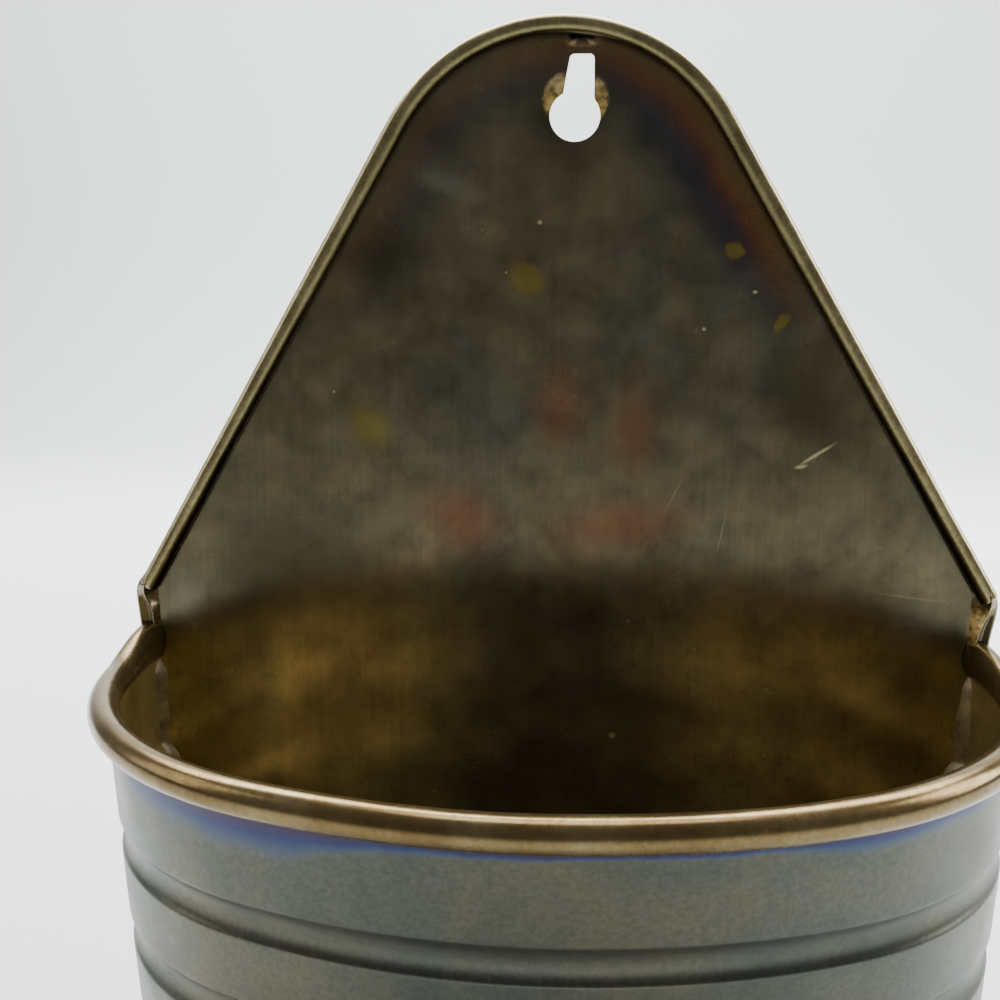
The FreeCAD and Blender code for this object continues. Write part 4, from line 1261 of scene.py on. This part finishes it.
@dataclass
class Studio:
    """A pale floor and backdrop, soft light, and the camera where the photograph was taken."""

    camera_place: tuple[float, float, float] = (3.046, 206.687, 156.486)
    yaw: float = 0.064
    pitch: float = 0.159
    roll: float = -0.002
    focal_share: float = 1.17045
    sensor: float = 36.0
    room_light: float = 0.17

    def camera(self) -> None:
        """Place the camera."""
        data = bpy.data.cameras.new("camera")
        data.sensor_width = self.sensor
        data.lens = self.sensor * self.focal_share
        data.clip_start, data.clip_end = 0.01, 50.0
        camera = bpy.data.objects.new("camera", data)
        bpy.context.scene.collection.objects.link(camera)
        turn = Matrix.Rotation(self.yaw, 3, "Z") @ Matrix.Rotation(-self.pitch, 3, "X") \
            @ Matrix.Rotation(self.roll, 3, "Y")
        look = Matrix((turn.col[0], turn.col[2], -turn.col[1])).transposed()
        camera.matrix_world = Matrix.Translation(Vector(PLACE.row_points(np.array([self.camera_place]))[0])) \
            @ look.to_4x4()
        bpy.context.scene.camera = camera

    def backdrop(self) -> None:
        """Build a floor that curves up into a backdrop."""
        radius, rise, reach, spread, sink = 0.35, 1.2, 1.1, 2.5, 0.0002
        turn = np.linspace(0.0, math.pi / 2, 24)
        line = [(-spread, 0.0)]
        line += [(reach + radius * math.sin(a), radius - radius * math.cos(a)) for a in turn]
        line.append((reach + radius, rise + radius))
        points = [(x, y, z - sink) for x in (-spread, spread) for y, z in line]
        count = len(line)
        faces = [(i, i + 1, count + i + 1, count + i) for i in range(count - 1)]
        mesh = bpy.data.meshes.new("backdrop")
        mesh.from_pydata(points, [], faces)
        mesh.shade_smooth()
        material = bpy.data.materials.new("white cotton cloth")
        material.use_nodes = True
        shader = material.node_tree.nodes["Principled BSDF"]
        shader.inputs["Base Color"].default_value = linear("#dfe4e3")
        shader.inputs["Roughness"].default_value = 0.9
        mesh.materials.append(material)
        backdrop = bpy.data.objects.new("backdrop", mesh)
        bpy.context.scene.collection.objects.link(backdrop)

    def lamp(self, name: str, place: tuple[float, float, float], aim: tuple[float, float, float],
             size: tuple[float, float], watts: float, spread: float = 180.0, colour: str = "#ffffff") -> None:
        """Hang one soft box.

        Args:
            name: the lamp's name.
            place: where it hangs, in metres.
            aim: the point it faces.
            size: its width and height.
            watts: its power.
            spread: the angle that its light keeps within, in degrees.
            colour: its colour.
        """
        data = bpy.data.lights.new(name, "AREA")
        data.shape = "RECTANGLE"
        data.size, data.size_y = size
        data.energy = watts
        data.spread = math.radians(spread)
        data.color = linear(colour)[:3]
        lamp = bpy.data.objects.new(name, data)
        bpy.context.scene.collection.objects.link(lamp)
        lamp.location = place
        lamp.rotation_mode = "QUATERNION"
        lamp.rotation_quaternion = (Vector(aim) - Vector(place)).to_track_quat("-Z", "Y")

    def light(self) -> None:
        """Hang the soft boxes behind and above the planter, and set the room's own dim light."""
        world = bpy.data.worlds.new("room")
        bpy.context.scene.world = world
        world.use_nodes = True
        background = world.node_tree.nodes["Background"]
        background.inputs["Color"].default_value = (1.0, 1.0, 1.0, 1.0)
        background.inputs["Strength"].default_value = self.room_light
        self.lamp("back_box", (0.0, 0.55, 0.85), (0.0, 0.5, 0.0), (1.6, 0.5), 26.0, 130.0)
        self.lamp("backdrop_box", (0.0, 0.5, 0.95), (0.0, 1.4, 0.45), (2.0, 0.3), 24.0, 130.0)
        self.lamp("left_box", (-0.85, -0.05, 0.5), (0.0, 0.0, 0.1), (0.45, 0.6), 0.9, 120.0)
        self.lamp("right_box", (0.95, 0.15, 0.5), (0.0, 0.0, 0.1), (0.45, 0.6), 3.4, 120.0)
        self.lamp("top_box", (0.0, 0.05, 0.8), (0.0, 0.0, 0.0), (0.5, 0.25), 1.1, 120.0)

    def build(self) -> None:
        """Build the whole studio."""
        self.camera()
        self.backdrop()
        self.light()


def main() -> None:
    """Build the planter's looks, then the studio round it."""
    logging.basicConfig(level=logging.INFO, format="%(name)s: %(message)s")
    face, wall = PlateFinish().build(), WallFinish().build()
    tray = PlainFinish("brass sheet, dull tarnish", "#4c4028", "#83714a", 0.42, 11.0).build()
    wire = PlainFinish("steel wire, drawn", "#7d7b74", "#a5a39c", 0.36, 3.0).build()
    solder = PlainFinish("tin solder, stained brown", "#7d6f58", "#ad9e84", 0.46, 2.2).build()
    BackPlate().build(face, EdgeRollFinish().build())
    pot = PotWall()
    pot.build(wall)
    for side in Side:
        SeamSolder(side).build(pot, solder)
    for node, finish in {"bottom_tray": tray, "rim_wire": wire, "edge_wire": wire,
                         "foot_seam_solder": solder}.items():
        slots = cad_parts[node].data.materials
        slots.clear()
        slots.append(finish)
        log.info("%s: %s", node, finish.name)
    Studio().build()


if __name__ == "__main__":
    main()
